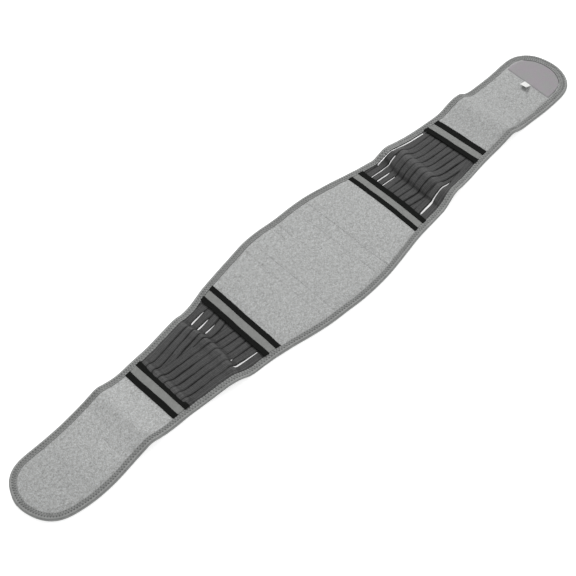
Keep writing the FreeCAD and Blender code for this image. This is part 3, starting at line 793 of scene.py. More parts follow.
def simulate(name, x0, x1):
    """Simulates a stretch of lining, pinned along its seams and pressed out by the foam.

    An x left as None is taken just inside that end of the belt."""
    upper, lower, left_end, right_end = inset_edges(FLANGE - 0.5)
    to_right_end = x1 is None
    x0 = left_end + 3.0 if x0 is None else x0
    x1 = right_end - 3.0 if x1 is None else x1
    step, cols = 5.0, 34
    rows = len(np.arange(x0, x1 + 0.1, step))
    xs = np.linspace(x0, np.arange(x0, x1 + 0.1, step)[-1], rows) if False else \
        np.linspace(x0, x1, rows)
    X = np.repeat(xs[:, None], cols, 1)
    lo, hi = lower(xs)[:, None], upper(xs)[:, None]
    Y = lo + (hi - lo) * np.linspace(0, 1, cols)[None]
    faces = sheet_faces(np.arange(rows * cols).reshape(rows, cols),
                        np.ones((rows - 1, cols - 1), bool))
    pin = np.zeros((rows, cols))
    pin[:, 0] = pin[:, -1] = 1
    pin[0] = pin[-1] = 1
    for seam in CHANNEL_X:
        pin[np.abs(X - seam) < step * 0.52] = 1
    for seam in CENTRE_X:
        pin[(np.abs(X - seam) < step * 0.6) & (Y > 47)] = 1
    if to_right_end:
        pin[X > patch_start(Y) - 2] = 1
    start = (0.25 * np.sin(X / 14.0 + 0.8 * np.sin(Y / 19.0))
             + 0.2 * np.sin(Y / 12.0 + X / 33.0)) * (1 - pin)
    enlarge = 10.0            # the solver is steadier on a larger sheet
    co = np.stack([X, Y, start], -1).reshape(-1, 3) * MM * enlarge
    me = bpy.data.meshes.new(name)
    me.from_pydata(co.tolist(), [], faces.tolist())
    me.update()
    ob = bpy.data.objects.new(name, me)
    scene.collection.objects.link(ob)
    group = ob.vertex_groups.new(name="pin")
    for i in np.nonzero(pin.ravel())[0]:
        group.add([int(i)], 1.0, "REPLACE")
    cloth = ob.modifiers.new("cloth", "CLOTH")
    settings = cloth.settings
    settings.quality = 6
    settings.mass = 0.3
    settings.tension_stiffness = 12
    settings.compression_stiffness = 12
    settings.shear_stiffness = 6
    settings.bending_stiffness = 1.6
    settings.air_damping = 2.0
    settings.vertex_group_mass = "pin"
    settings.shrink_min = -0.022
    settings.use_pressure = True
    settings.uniform_pressure_force = 1.3
    settings.effector_weights.gravity = 0
    cloth.collision_settings.use_collision = False
    cloth.collision_settings.use_self_collision = False
    last_frame = 22
    cloth.point_cache.frame_start, cloth.point_cache.frame_end = 1, last_frame
    scene.frame_start, scene.frame_end = 1, last_frame
    for number in range(1, last_frame + 1):
        scene.frame_set(number)
    evaluated = ob.evaluated_get(bpy.context.evaluated_depsgraph_get())
    result = evaluated.to_mesh()
    out = np.empty(len(result.vertices) * 3, np.float32)
    result.vertices.foreach_get("co", out)
    evaluated.to_mesh_clear()
    z = out.reshape(-1, 3)[:, 2].astype(float) / (MM * enlarge)
    bpy.data.objects.remove(ob)
    bpy.data.meshes.remove(me)
    scene.frame_set(1)
    # a point the solver lost lies flat
    z = np.where(np.isfinite(z), z, 0).reshape(rows, cols)
    return xs, lo[:, 0], hi[:, 0], z


def tame(z):
    """Reduces the solver's broad swell and keeps its creases at a set depth."""
    slow = z.copy()
    for _ in range(24):
        q = np.pad(slow, 1, mode="edge")
        slow = (q[:-2, 1:-1] + q[2:, 1:-1] + q[1:-1, :-2] + q[1:-1, 2:] + 2 * slow) / 6
    crease = z - slow
    return np.clip(0.07 * slow + crease * 0.20 / max(float(crease.std()), 1e-3), -0.6, 0.9)


def cloth_rise(x, y):
    """Height the simulated sheets add at x, y; zero where there is none."""
    out = np.zeros(np.shape(x))
    for xs, lo, hi, z in RISE_FIELDS:
        inside = (x >= xs[0]) & (x <= xs[-1])
        if not inside.any():
            continue
        xi, yi = x[inside], y[inside]
        low, high = np.interp(xi, xs, lo), np.interp(xi, xs, hi)
        cols = z.shape[1]
        u = np.interp(xi, xs, np.arange(len(xs)))
        v = np.clip((yi - low) / np.maximum(high - low, 1e-6), 0, 1) * (cols - 1)
        i = np.clip(u.astype(int), 0, len(xs) - 2)
        j = np.clip(v.astype(int), 0, cols - 2)
        fu, fv = smooth(u - i), smooth(v - j)
        out[inside] = (z[i, j] * (1 - fu) * (1 - fv) + z[i + 1, j] * fu * (1 - fv)
                       + z[i, j + 1] * (1 - fu) * fv + z[i + 1, j + 1] * fu * fv)
    return out


# ------------------------------------------------------------------ padded layers
def grooves(x, y):
    """Depth that the sewn channels pull the lining down."""
    depth = np.zeros(np.shape(x))
    for _, _, seam, deepest in CHANNELS:
        depth = np.maximum(depth, deepest * np.exp(-(np.abs(x - seam) / 1.1) ** 2))
    for seam in CENTRE_X:
        sewn = smooth((y - 45.0) / 5.0)
        depth = np.maximum(depth, 0.6 * sewn * np.exp(-((x - seam) / 1.1) ** 2))
    return depth


def puff(x, y, d):
    """Crown of the padded face between its sewn edges, 0 to 1."""
    across = np.abs(x)
    inner = smooth((d - FLANGE + 0.8) / 6.5)
    lean_in, lean_out = (np.where(x > 0, LEAN[k]["right"], LEAN[k]["left"]) * y
                         for k in ("inner", "outer"))
    to_in = np.where(across < 200, (TRIM_START - 1.0) - np.sign(x) * (x - lean_in), 99.0)
    to_out = np.where(across > 200, np.sign(x) * (x - lean_out) - (TRIM_END + 1.0), 99.0)
    return inner * (smooth(to_in / 7.0) * smooth(to_out / 7.0))


def unevenness(x, y):
    """Slow unevenness of the laid cloth, under half a millimetre."""
    return (0.16 * np.sin(x / 23.0 + 0.7 * np.sin(y / 31.0)) * np.cos(y / 27.0 + 0.5)
            + 0.10 * np.sin(x / 11.0 + y / 17.0 + 1.3) + 0.06 * np.sin(x / 6.3 - y / 8.1 + 2.0))


def lining_top(x, y, d):
    """Height of the lining at x, y, which lies d inside the sewn edge."""
    crown = puff(x, y, d)
    before_patch = np.where(x > 300, smooth((patch_start(y) - 1.0 - x) / 5.0), 1.0)
    z = LINING_TOP - 0.15 + crown * (0.75 + unevenness(x, y) * 1.3)
    z = z + crown * before_patch * cloth_rise(x, y)
    return lift(x, y) + z - grooves(x, y) * smooth(crown * 3)


def zone_grid(x0, x1, end, step, fine=()):
    """Grid over a stretch of the belt. end is 'left' or 'right' for a rounded tip."""
    upper, lower, left_end, right_end = inset_edges(LAYER_INSET)
    if end:
        sign = dict(SIDES)[end]
        centre = TIP_CENTRE[end][0]
        stop = (right_end if sign > 0 else left_end) - sign * 4.0
        straight = np.arange(x0 if sign > 0 else x1, centre, sign * step)
        last = math.pi / 2 * 0.93
        rounded = centre + (stop - centre) * np.sin(np.linspace(0, last, 34)) / math.sin(last)
        xs = np.concatenate([straight[sign * (centre - straight) > 0.5], rounded])
    else:
        xs = np.linspace(x0, x1, max(2, int(round((x1 - x0) / step)) + 1))
    for seam in fine:
        if x0 - 3 < seam < x1 + 3:
            xs = np.concatenate([xs[np.abs(xs - seam) > 2.6], seam + np.linspace(-2.4, 2.4, 9)])
    if not end:
        xs = xs[(xs >= x0 - 1e-6) & (xs <= x1 + 1e-6)]
    xs = np.unique(np.round(xs, 4))
    if not end:
        xs[0], xs[-1] = x0, x1
    v = np.linspace(0, 1, int(round(150 / step)) + 1)
    v = v - 0.035 * np.sin(2 * math.pi * v)     # uneven spacing across the belt
    X = np.repeat(xs[:, None], len(v), 1)
    lo, hi = lower(xs)[:, None], upper(xs)[:, None]
    return X, lo + (hi - lo) * v[None, :]


# zone, from x, to x
ZONES = (
    ("back", CHANNEL_X[3], CHANNEL_X[1]),
    ("side_right", CHANNEL_X[1], 131.0),
    ("side_left", -131.0, CHANNEL_X[3]),
    ("front_right", 289.3, SPLIT["front"]),
    ("front_left", -SPLIT["front"], -285.4),
    ("tip_right", SPLIT["front"], 500.0),
    ("tip_left", -500.0, -SPLIT["front"]),
)


def zone_end(zone):
    place, _, side = zone.partition("_")
    return side if place == "tip" else None


def settle_zone(ob, zone, slot, part):
    place, _, side = zone.partition("_")
    home = (place, side) if side else "back_centre"
    node = f"{place}_{part}_{side}" if side else f"{place}_{part}"
    settle(ob, home, slot, node)


def reach(zone, x0, x1, side_end, front_start):
    """Moves the ends of a zone that lie beside the elastic."""
    if zone == "side_right":
        x1 = side_end
    elif zone == "side_left":
        x0 = -side_end
    elif zone == "front_right":
        x0 = front_start
    elif zone == "front_left":
        x1 = -front_start
    return x0, x1


def lining_piece(zone, x0, x1):
    step = 1.5
    X, Y = zone_grid(x0, x1, zone_end(zone), step, CHANNEL_X + CENTRE_X)
    d = edge_distance(X, Y)
    top = lining_top(X, Y, d)
    bottom = np.minimum(lift(X, Y) + FOAM_HI, top - 0.5)
    ob = slab("lining_" + zone, X, Y, top, bottom, M_MARL)
    # normals from the surface's own slope, so that zones shade alike where they meet
    h = 0.6
    slope_x = (lining_top(X + h, Y, d) - lining_top(X - h, Y, d)) / (2 * h)
    slope_y = (lining_top(X, Y + h, edge_distance(X, Y + h))
               - lining_top(X, Y - h, edge_distance(X, Y - h))) / (2 * h)
    normal = np.stack([-slope_x, -slope_y, np.ones_like(slope_x)], -1)
    normal /= np.linalg.norm(normal, axis=-1)[..., None]
    me = ob.data
    at_vertex = np.zeros((len(me.vertices), 3))
    at_vertex[:X.size] = normal.reshape(-1, 3)
    corners = np.empty(len(me.loops), np.int32)
    me.loops.foreach_get("vertex_index", corners)
    at_corner = at_vertex[corners]
    cells = (X.shape[0] - 1) * (X.shape[1] - 1)
    at_corner[cells * 4:] = 0
    me.normals_split_custom_set(at_corner.tolist())
    settle_zone(ob, zone, "marl_lining", "inner_face")


def foam_piece(zone, x0, x1):
    x0, x1 = reach(zone, x0, x1, side_end=125.5, front_start=297.5)
    X, Y = zone_grid(x0, x1, zone_end(zone), 3.0)
    mask = None
    if zone == "back":
        # the pockets of the two stays are cut out
        offsets = (-POCKET_HALF_WIDTH, 0.0, POCKET_HALF_WIDTH)
        extra = [s * STAY_X + offset for s in (-1, 1) for offset in offsets]
        old = X[:, 0]
        xs = np.unique(np.concatenate([old[np.abs(np.abs(old) - STAY_X) > 9.5], extra]))
        upper, lower = inset_edges(LAYER_INSET)[:2]
        half = POCKET_HALF_LENGTH
        Y = np.array([np.concatenate([np.linspace(lower(x), -half, 8)[:-1],
                                      np.linspace(-half, half, 40),
                                      np.linspace(half, upper(x), 8)[1:]]) for x in xs])
        X = np.repeat(xs[:, None], Y.shape[1], 1)
        mid_x, mid_y = (X[:-1, :-1] + X[1:, 1:]) / 2, (Y[:-1, :-1] + Y[1:, 1:]) / 2
        mask = ~((np.abs(np.abs(mid_x) - STAY_X) < POCKET_HALF_WIDTH) & (np.abs(mid_y) < half))
    rise = lift(X, Y)
    ob = slab("foam_" + zone, X, Y, rise + FOAM_HI - 0.06, rise + FOAM_LO + 0.06, M_FOAM, mask)
    settle_zone(ob, zone, "foam", "foam_core")


def face_piece(zone, x0, x1):
    x0, x1 = reach(zone, x0, x1, side_end=153.0, front_start=295.2)
    X, Y = zone_grid(x0, x1, zone_end(zone), 2.4)
    crown = smooth((edge_distance(X, Y) - FLANGE + 0.5) / 7.0)
    rise = lift(X, Y)
    sag = crown * (0.55 + 0.8 * np.minimum(unevenness(X + 40, Y), 0.1))
    bottom = np.maximum(rise + FACE_LO - sag, 0.02)
    ob = slab("outer_" + zone, X, Y, rise + FACE_HI, bottom, M_LOOP)
    settle_zone(ob, zone, "loop_fabric", "outer_face")


# ------------------------------------------------------------------ edge binding
# upper leg: distance inside the edge, and height above the full thickness
LEG_D = np.array([9.5, 9.3, 8.7, 8.0, 7.2, 6.4, 5.6, 4.9, 4.3, 3.6])
LEG_Z = np.array([-0.42, -0.12, 0.02, 0.0, -0.05, -0.12, -0.14, -0.10, 0.0, 0.06])
ROLL_ANGLES = np.radians(np.linspace(90, 270, 9))
UNDER_D = np.array([4.2, 5.6, 7.2, 8.6, 9.3, 9.5])      # lower leg, distance inside the edge
SHEET = 0.75                  # thickness of the tape


def extra_flange(x, normal_y):
    """Extra width of the tape's upper leg round the right end."""
    x = np.asarray(x, float)
    return (2.1 * smooth((x - 396) / 16) * smooth((0.92 - normal_y) / 0.35)
            + 0.9 * smooth((x - 456) / 14) * smooth((0.9 - np.abs(normal_y)) / 0.3))


def binding_rows(ids, grow=0.0):
    """Closed cross sections and UVs of the folded tape at a run of edge stations."""
    ids = np.asarray(ids) % len(EDGE)
    x, y = EDGE[ids].T
    arc = ARC[ids]
    thick = THICKNESS(x)
    k = thick / BINDING_TOP
    phase = arc / PERIOD

    def pucker(d):
        """The stitches pull the tape in where they turn."""
        return sum(np.exp(-(((phase + shift) % 1 - 0.5) * PERIOD / 0.9) ** 2)
                   * np.exp(-((d - (FLANGE - row)) / 0.9) ** 2) for shift, row in TURNS)

    def full(value):
        return np.full(len(ids), value)

    wider = extra_flange(x, NORMAL[ids, 1])
    outer, inner, around = [], [], []
    for i, (d, z) in enumerate(zip(LEG_D, LEG_Z)):
        out_d = d + wider * (d - 3.6) / (FLANGE - 3.6)
        out_z = thick + (z + grow) * k - 0.32 * pucker(d) * k
        outer.append((out_d, out_z))
        inner.append((np.maximum(out_d, 3.2), out_z - SHEET * k * (0.55 if i == 0 else 1.0)))
        around.append(FLANGE - d)
    for a in ROLL_ANGLES:
        z = math.sin(a)
        outer.append((full(ROLL + ROLL * math.cos(a) - grow * abs(math.cos(a))),
                      thick / 2 + z * thick / 2 + 0.06 * k * max(z, 0) + grow * z * k))
        inner.append((full(ROLL + (ROLL - SHEET) * math.cos(a)),
                      thick / 2 + z * (thick / 2 - SHEET * k)))
        around.append(FLANGE - ROLL + (a - math.pi / 2) * ROLL)
    for i, d in enumerate(UNDER_D):
        last = i == len(UNDER_D) - 1
        outer.append((full(d), full(0.02)))
        inner.append((full(d), 0.02 + SHEET * k * (0.6 if last else 1.0)))
        around.append(FLANGE - ROLL + math.pi * ROLL + d - ROLL)
    section = outer + inner[::-1]
    D = np.stack([d for d, _ in section], 1)
    Z = np.stack([z for _, z in section], 1)
    around = np.array(around + around[::-1])
    # the folded tape is never perfectly even
    wobble = (0.22 * np.sin(arc / 13.0) * np.sin(arc / 5.1 + 1.0) + 0.12 * np.sin(arc / 2.9)
              + 0.30 * np.cos(2 * math.pi * (phase + 0.5)))
    D_even = D + np.clip((D - 5.0) / 4.5, 0, 1) * wobble[:, None]
    P = EDGE[ids][:, None, :] - NORMAL[ids][:, None, :] * D_even[:, :, None]
    verts = np.concatenate([P, (Z + lift(x, y)[:, None])[:, :, None]], 2)
    uv = np.stack([np.repeat(arc[:, None], D.shape[1], 1),
                   np.repeat(around[None], len(ids), 0)], 2)
    return verts, uv


def runs(x0, x1):
    """Runs of edge stations, as lists of numbers, whose x lies between x0 and x1."""
    count = len(EDGE)
    inside = (EDGE[:, 0] >= x0) & (EDGE[:, 0] <= x1)
    start = int(np.nonzero(~inside)[0][0])
    out, run = [], []
    for i in range(start, start + count + 1):
        if inside[i % count]:
            run.append(i)
        elif run:
            out.append(run)
            run = []
    return out


def cut_rows(ids, x0, x1):
    """Adds rows that end exactly on the split planes, so neighbouring lengths meet."""
    verts, uv = binding_rows([ids[0] - 1] + ids + [ids[-1] + 1])
    for end, following in ((0, 1), (-1, -2)):
        a, b = verts[end], verts[following]
        mid = a[:, 0].mean()
        plane = x0 if abs(mid - x0) < abs(mid - x1) else x1
        run = b[:, 0] - a[:, 0]
        t = (plane - a[:, 0]) / np.where(np.abs(run) < 1e-9, 1e-9, run)
        t = np.clip(t, -1.5, 2.5)[:, None]
        verts[end] = a + (b - a) * t
        verts[end][:, 0] = plane
        uv[end] = uv[end] + (uv[following] - uv[end]) * t
    return verts, uv


def binding_piece(name, span, home, node):
    parts, flat, face_count = [], [], 0
    for ids in runs(*span):
        if len(ids) < 3:
            continue
        rows, uv = cut_rows(ids, *span)
        verts, faces, caps = closed_sweep(rows)
        flat += [face_count + i for i in caps]
        face_count += len(faces)
        parts.append((verts, faces, uv.reshape(-1, 2)))
    settle(make(name, *join(parts), M_BINDING, flat), home, "edge_binding", node)


def binding_lap():
    """Short overlap of the tape's ends on the left tip."""
    at = int(np.argmin((EDGE[:, 0] + 490) ** 2 + (EDGE[:, 1] - 9) ** 2))
    rows, uv = binding_rows(list(range(at - 6, at + 8)), grow=0.32)
    rows[:, :, 2] = np.maximum(rows[:, :, 2], 0.03)
    verts, faces, caps = closed_sweep(rows)
    ob = make("binding_lap_left", verts, faces, uv.reshape(-1, 2), M_BINDING, caps)
    settle(ob, "tip_left", "edge_binding")


def tape_top(station, d):
    """Height of the tape's top at a distance inside the edge, without the stitch dimples."""
    x, y = EDGE[station]
    thick = THICKNESS(x)
    return float(lift(x, y) + thick + np.interp(d, LEG_D[::-1], LEG_Z[::-1]) * thick / BINDING_TOP)


# place along half a stitch, and height of the thread there
ZIGZAG_ARCH = ((0.0, -0.30), (0.22, 0.14), (0.5, 0.24), (0.78, 0.14))


def zigzag_thread(first, last, on_top):
    """Thread from one half stitch to another, on the upper or lower leg of the tape."""
    count = len(EDGE)
    points, uv = [], []
    for k in range(first, last):
        rows = (ROW_IN, ROW_OUT) if k % 2 == 0 else (ROW_OUT, ROW_IN)
        from_d, to_d = (FLANGE - row for row in rows)
        for t, height in ZIGZAG_ARCH:
            s = (k + t) * PERIOD / 2
            position = s / LENGTH * count
            i = int(math.floor(position))
            w = position - i
            i0, i1 = i % count, (i + 1) % count
            d = from_d + (to_d - from_d) * t
            p = (EDGE[i0] * (1 - w) + EDGE[i1] * w
                 - (NORMAL[i0] * (1 - w) + NORMAL[i1] * w) * d)
            if on_top:
                z = tape_top(i0, d) + height * 0.8
            else:
                z = float(lift(*EDGE[i0])) + 0.06 - 0.05 * (height > 0)
            points.append((p[0], p[1], z))
            uv.append((s, d))
    return tube(points, 0.27, uv, 6) if on_top else tube(points, 0.10, uv, 5)


def zigzag(name, span, home):
    """Zigzag thread on both faces of the tape."""
    parts = []
    for ids in runs(*span):
        start = ARC[ids[0] % len(EDGE)]
        end = start + (len(ids) - 1) * LENGTH / len(EDGE)
        first, last = math.ceil(start / PERIOD * 2), math.floor(end / PERIOD * 2)
        if last - first >= 2:
            parts += [zigzag_thread(first, last, on_top) for on_top in (True, False)]
    settle(make(name, *join(parts), M_THREAD), home, "edge_binding")


# ------------------------------------------------------------------ junctions
# black tapes across the belt: from x, to x, lean, bow of the middle (x as on the right side)
TRIMS = {
    "right": {"inner_a": (124.9, 131.9, .025, 1.7), "inner_b": (141.5, 149.3, .026, 1.7),
              "outer_a": (268.1, 276.2, -.030, 0.5), "outer_b": (287.0, 296.2, -.026, 0.4)},
    "left": {"inner_a": (126.0, 133.5, .015, 0.0), "inner_b": (144.0, 151.6, .015, -0.3),
             "outer_a": (264.3, 272.0, -.012, 0.0), "outer_b": (282.7, 290.7, -.020, 0.0)},
}
TRIM_BOTTOM = {"inner_a": 4.90, "inner_b": 4.85, "outer_a": 4.85, "outer_b": 4.90}
TRIM_RIB = 1.5


def tape_strip(name, x0, x1, side, material, body, slot, nodes=(), *, bottom, top, inset, lean,
               seed, wobble, edge, ribs=0.0, bow=0.0):
    """A tape sewn across the belt. edge is how far its rim rounds down, ribs their height."""
    upper, lower = inset_edges(inset)[:2]
    start, end = (x0, x1) if side == "right" else (-x1, -x0)
    width = end - start
    t = np.array([0, 0.03, 0.08, 0.16, 0.3, 0.45, 0.6, 0.75, 0.87, 0.93, 0.97, 1.0])
    mid = (start + end) / 2
    y_min, y_max = float(lower(mid)), float(upper(mid))
    length = y_max - y_min
    v = np.linspace(0, 1, int(length / (0.375 if ribs else 1.5)) + 1)
    T, V = np.meshgrid(t, v, indexing="ij")
    Y0 = y_min + length * V
    ragged = np.sin(Y0 / 11.0 + seed) + 0.6 * np.sin(Y0 / 4.7 + 2 * seed)
    X = (start + width * T + lean * Y0 + bow * (1 - (2 * V - 1) ** 2)
         + wobble * ragged * (0.4 + 0.6 * T))
    lo, hi = lower(X), upper(X)
    Y = lo + (hi - lo) * V
    rise = lift(X, Y)
    rim = np.minimum(np.minimum(T, 1 - T) * width, 1.0)
    end_rim = np.minimum(np.minimum(V, 1 - V) * length / 1.2, 1.0)
    soft = edge * (1 - np.sqrt(np.clip(1 - (1 - np.minimum(rim, end_rim)) ** 2, 0, 1)))
    Z = rise + top - soft + ribs * (0.5 + 0.5 * np.sin(Y * 2 * math.pi / TRIM_RIB)) * rim
    Z = Z + 0.10 * np.sin(Y / 9.0 + seed) * rim
    settle(slab(name, X, Y, Z, rise + bottom, material), body, slot, *nodes)


def junction(place, side, body, seed):
    """The wide tape of one junction and the two black trims over its edges."""
    trims = TRIMS[side]
    tape_strip(f"junction_tape_{place}_{side}", trims[place + "_a"][1] - 2.0,
               trims[place + "_b"][0] + 2.0, side, M_TAPE, body, "junction_tape",
               [f"{place}_junction_tape_{side}"], bottom=3.95, top=5.2, inset=9.7,
               lean=LEAN[place][side], seed=seed, wobble=0.12, edge=0.2)
    for number, letter in enumerate("ab", 1):
        key = f"{place}_{letter}"
        x0, x1, lean, bow = trims[key]
        nodes = [f"{place}_junction_trims_{side}"] if letter == "a" else []
        tape_strip(f"black_trim_{key}_{side}", x0, x1, side, M_BLACK, body, "black_grosgrain",
                   nodes, bottom=TRIM_BOTTOM[key], top=6.15, inset=9.0, lean=lean,
                   seed=seed + number, wobble=0.22, edge=0.45, ribs=0.22, bow=bow)


def run_of_stitches(name, lines, body, slot="marl_lining", raised=0.06, length=2.6, gap=1.2,
                    radius=0.26, material=M_SEAM):
    """Lockstitches along polylines; each dips into the cloth at both ends."""
    arch = np.array([-0.28, 0.02, 0.14, 0.17, 0.14, 0.02, -0.28]) + raised
    taper = np.array([0.8, 1, 1, 1, 1, 1, 0.8]) * radius
    parts = []
    for line in lines:
        steps = np.linalg.norm(np.diff(line, axis=0), axis=1)
        s = np.concatenate([[0], np.cumsum(steps)])
        position = 0.4
        while position + length < s[-1]:
            q = np.linspace(position, position + length, 7)
            p = np.stack([np.interp(q, s, line[:, k]) for k in range(3)], 1)
            p[:, 2] += arch
            parts.append(tube(p, taper, np.stack([q, p[:, 1]], 1)))
            position += length + gap
    settle(make(name, *join(parts), material), body, slot)


def on_lining(xs, ys, above=0.0):
    """Points on the lining at xs, ys."""
    return np.stack([xs, ys, lining_top(xs, ys, edge_distance(xs, ys)) + above], 1)


# ------------------------------------------------------------------ elastic straps
# Bands are numbered from the upper edge down. in, out: y of each band at its two ends;
# order: from the lowest ply up, with base heights; slits: {pair of bands: {x: opening}}
PANELS = {
    "right": {
        "width": 10.8,
        "in": [57.2, 45.6, 35.0, 24.6, 14.3, 5.0, -5.1, -15.4, -26.5, -34.5, -44.6, -57.0],
        "out": [49.6, 38.0, 28.6, 18.6, 7.6, -3.2, -14.2, -25.4, -37.0, -38.5, -35.5, -42.0],
        "order": [9, 10, 8, 11, 7, 6, 5, 4, 3, 2, 1],
        "base": {9: 0.0, 10: 0.2, 8: 0.3, 11: 0.3, 7: 1.5, 6: 1.1,
                 5: 1.0, 4: 1.0, 3: 1.0, 2: 1.0, 1: 1.0},
        "slits": {
            (1, 2): {146: 0, 149: .85, 172: .85, 185: .7, 191: 1.2, 196: 1.3, 199: 0},
            (2, 3): {146: 0, 149: 1.2, 165: 1.35, 174: 1.0, 178: 0},
            (3, 4): {146: 0, 149: .8, 160: 1.2, 172: 1.0, 178: 0},
            (10, 11): {144: 0, 147: 2.0, 177: 2.0, 184: 1.1, 192: .65, 212: .55, 224: 0}},
    },
    "left": {
        "width": 11.0,
        "in": [52.5, 40.9, 30.0, 19.2, 11.5, 3.0, -8.3, -19.5, -30.2, -41.2, -53.6],
        "out": [40.6, 28.6, 20.0, 18.0, 14.0, 17.2, 6.0, -5.1, -15.9, -26.5, -37.6],
        "order": [4, 3, 2, 1, 5, 0, 6, 7, 8, 9, 10],
        "base": {4: 0.0, 3: 0.3, 2: 0.6, 1: 0.9, 5: 0.9, 0: 1.0,
                 6: 0.9, 7: 0.8, 8: 0.8, 9: 0.8, 10: 0.7},
        "slits": {
            (0, 1): {157: 0, 163: .65, 172: 1.2, 181: 1.6, 184: 0},
            (1, 2): {161: 0, 167: .65, 176: 1.25, 181: 1.5, 184: 0},
            (2, 3): {160: 0, 166: .6, 173: 1.3, 177.5: 1.5, 180.5: 0},
            (9, 10): {147: 0, 150: .8, 168: .9, 184: 1.5, 188: 1.1, 191: 0},
            (8, 9): {181: 0, 183.5: .8, 186: 0}},
    },
}
# {distance from the middle: height of the fold}
HUMP = {
    "right": pchip({130: 0, 152: 0, 175: 0, 179: .25, 184.5: 7.4, 192: 12.6, 199: 15.7,
                    201: 15.9, 204: 15, 208: 12.5, 212: 9, 216: 5.6, 222: 3.0, 228: 1.4,
                    234: .4, 242: 0, 300: 0}),
    "left": pchip({130: 0, 152: 0, 179: 0, 181.5: 1.2, 186: 7.6, 189: 9.3, 193: 9.1, 200: 7.6,
                   215: 5.6, 225: 4.1, 240: 1.1, 251: 0, 256: .6, 262: 3.0, 265: 2.7, 270: .9,
                   276: 0, 300: 0}),
}
# {y: share of that height}
HUMP_Y = {
    "right": pchip({-60: .58, -44: .62, -34: .68, -24: .98, 0: 1, 24: 1, 40: .88, 56: .78}),
    "left": pchip({-60: .8, -40: 1, 0: 1.08, 25: 1, 42: .64, 60: .38}),
}
# {y: shift of the fold away from the middle}
CREST = {
    "right": pchip({-60: -2.5, -15: -1.5, 0: 0, 20: 1.5, 35: 5, 52: 9}),
    "left": pchip({-56: 7.5, -40: 5, -20: 1.5, 0: 0, 20: .5, 40: 4, 56: 6}),
}
FLOOR = pchip({130: 1.95, 153.5: 1.95, 158: 1.5, 164: .8, 172: .15, 245: .15, 254: .3,
               260: .9, 265: 1.7, 300: 1.7})
# plies are pressed flat under the trims
SQUEEZE = pchip({130: .5, 150: .5, 156: .62, 165: 1, 252: 1, 260: .75, 266: .5, 300: .5})
PLY = 0.9                     # thickness of the elastic
# points across a band, from its lower selvedge to its upper
ACROSS = np.array([-1, -.985, -.94, -.86, -.76, -.66, -.56, -.46, -.36, -.26, -.16, -.06,
                   .04, .14, .24, .34, .44, .54, .64, .74, .84, .93, .985, 1.0])


def band_layout(side, along, flange_upper, flange_lower):
    """Centre lines, upper and lower half widths of the bands, and their usual overlap."""
    spec = PANELS[side]
    width = spec["width"]
    count = len(spec["in"])
    share = np.clip((along - 152.0) / 113.0, -0.15, 1.12)
    centres = np.stack([a + (b - a) * share + 2.2 for a, b in zip(spec["in"], spec["out"])])
    if side == "left":
        # the bands sag towards the lower edge and come back up to the seam of the front section
        sag = np.array([4.0, 4.0, 4.0, 4.0, 4.0, 3.9, 3.6, 3.5, 3.2, 2.9, 2.5])[:, None]
        back_up = smooth((along - 251.5) / 9.0)
        centres = centres - sag * (1 - back_up) - 2.2 * back_up
        centres[:4] += 1.6 * window(along, 156, 184, 14) * np.array([[.8], [.6], [-.6], [-1.4]])
    up = np.full((count, len(along)), width / 2)
    low = np.full((count, len(along)), width / 2)
    tuck = 0.8 + 0.9 * window(along, 180, 216, 10)
    # neighbours overlap a little, except where the cloth has parted into a slit
    for i in range(1 if side == "right" else 0, count - 1):
        j = i + 1
        slit = spec["slits"].get((i, j))
        want = pchip(slit)(along) if slit else np.zeros(len(along))
        want = np.where(want > 0.02, want - tuck * (1 - smooth(want / 0.5)), -tuck)
        has = (centres[i] - low[i]) - (centres[j] + up[j])
        # bands that already overlap well keep their own width
        change = np.where((has < -tuck) & (want <= -tuck + 1e-6), 0.0, has - want)
        low[i] = low[i] + change / 2
        up[j] = up[j] + change / 2
    low[-1] = np.maximum(centres[-1] - (flange_lower - 2.2), 3.0)
    if side == "left":
        up[0] = np.maximum(flange_upper + 2.2 - centres[0], 3.0)
    else:
        # the uppermost band runs under the binding; a narrow slit follows the binding's edge
        show = smooth((179.0 - along) / 5.0)
        top_edge = flange_upper + 1.4 - 5.2 * show
        up[0] = np.maximum(flange_upper + 2.2 - centres[0], 2.5)
        low[0] = np.maximum(centres[0] - top_edge, 0.5 - up[0])
        slit = (1.4 + 1.5 * smooth((along - 200.0) / 8.0)) * (1 - show)
        up[1] = (flange_upper - slit - 3.0 * show) - centres[1]
    return centres, up, low, tuck


def stack_bands(spec, centres, up, low, tuck):
    """Height of each band where it lies over the bands below it."""
    heights = {}
    kernel = np.array([1, 3, 5, 3, 1]) / 13.0
    top, bottom = centres + up, centres - low
    for i in spec["order"]:
        z = np.full(centres.shape[1], spec["base"][i], float)
        for j in heights:
            over = np.minimum(top[i], top[j]) - np.maximum(bottom[i], bottom[j])
            over_j = heights[j] + (PLY + 0.1) * smooth((over - tuck - 0.4) / 1.0)
            z = np.maximum(z, over_j - 3 * (over < 0))
        eased = np.convolve(np.pad(z, 2, mode="edge"), kernel, "valid")
        heights[i] = np.maximum(z, eased)
    heights.setdefault(0, np.zeros(centres.shape[1]))
    return heights


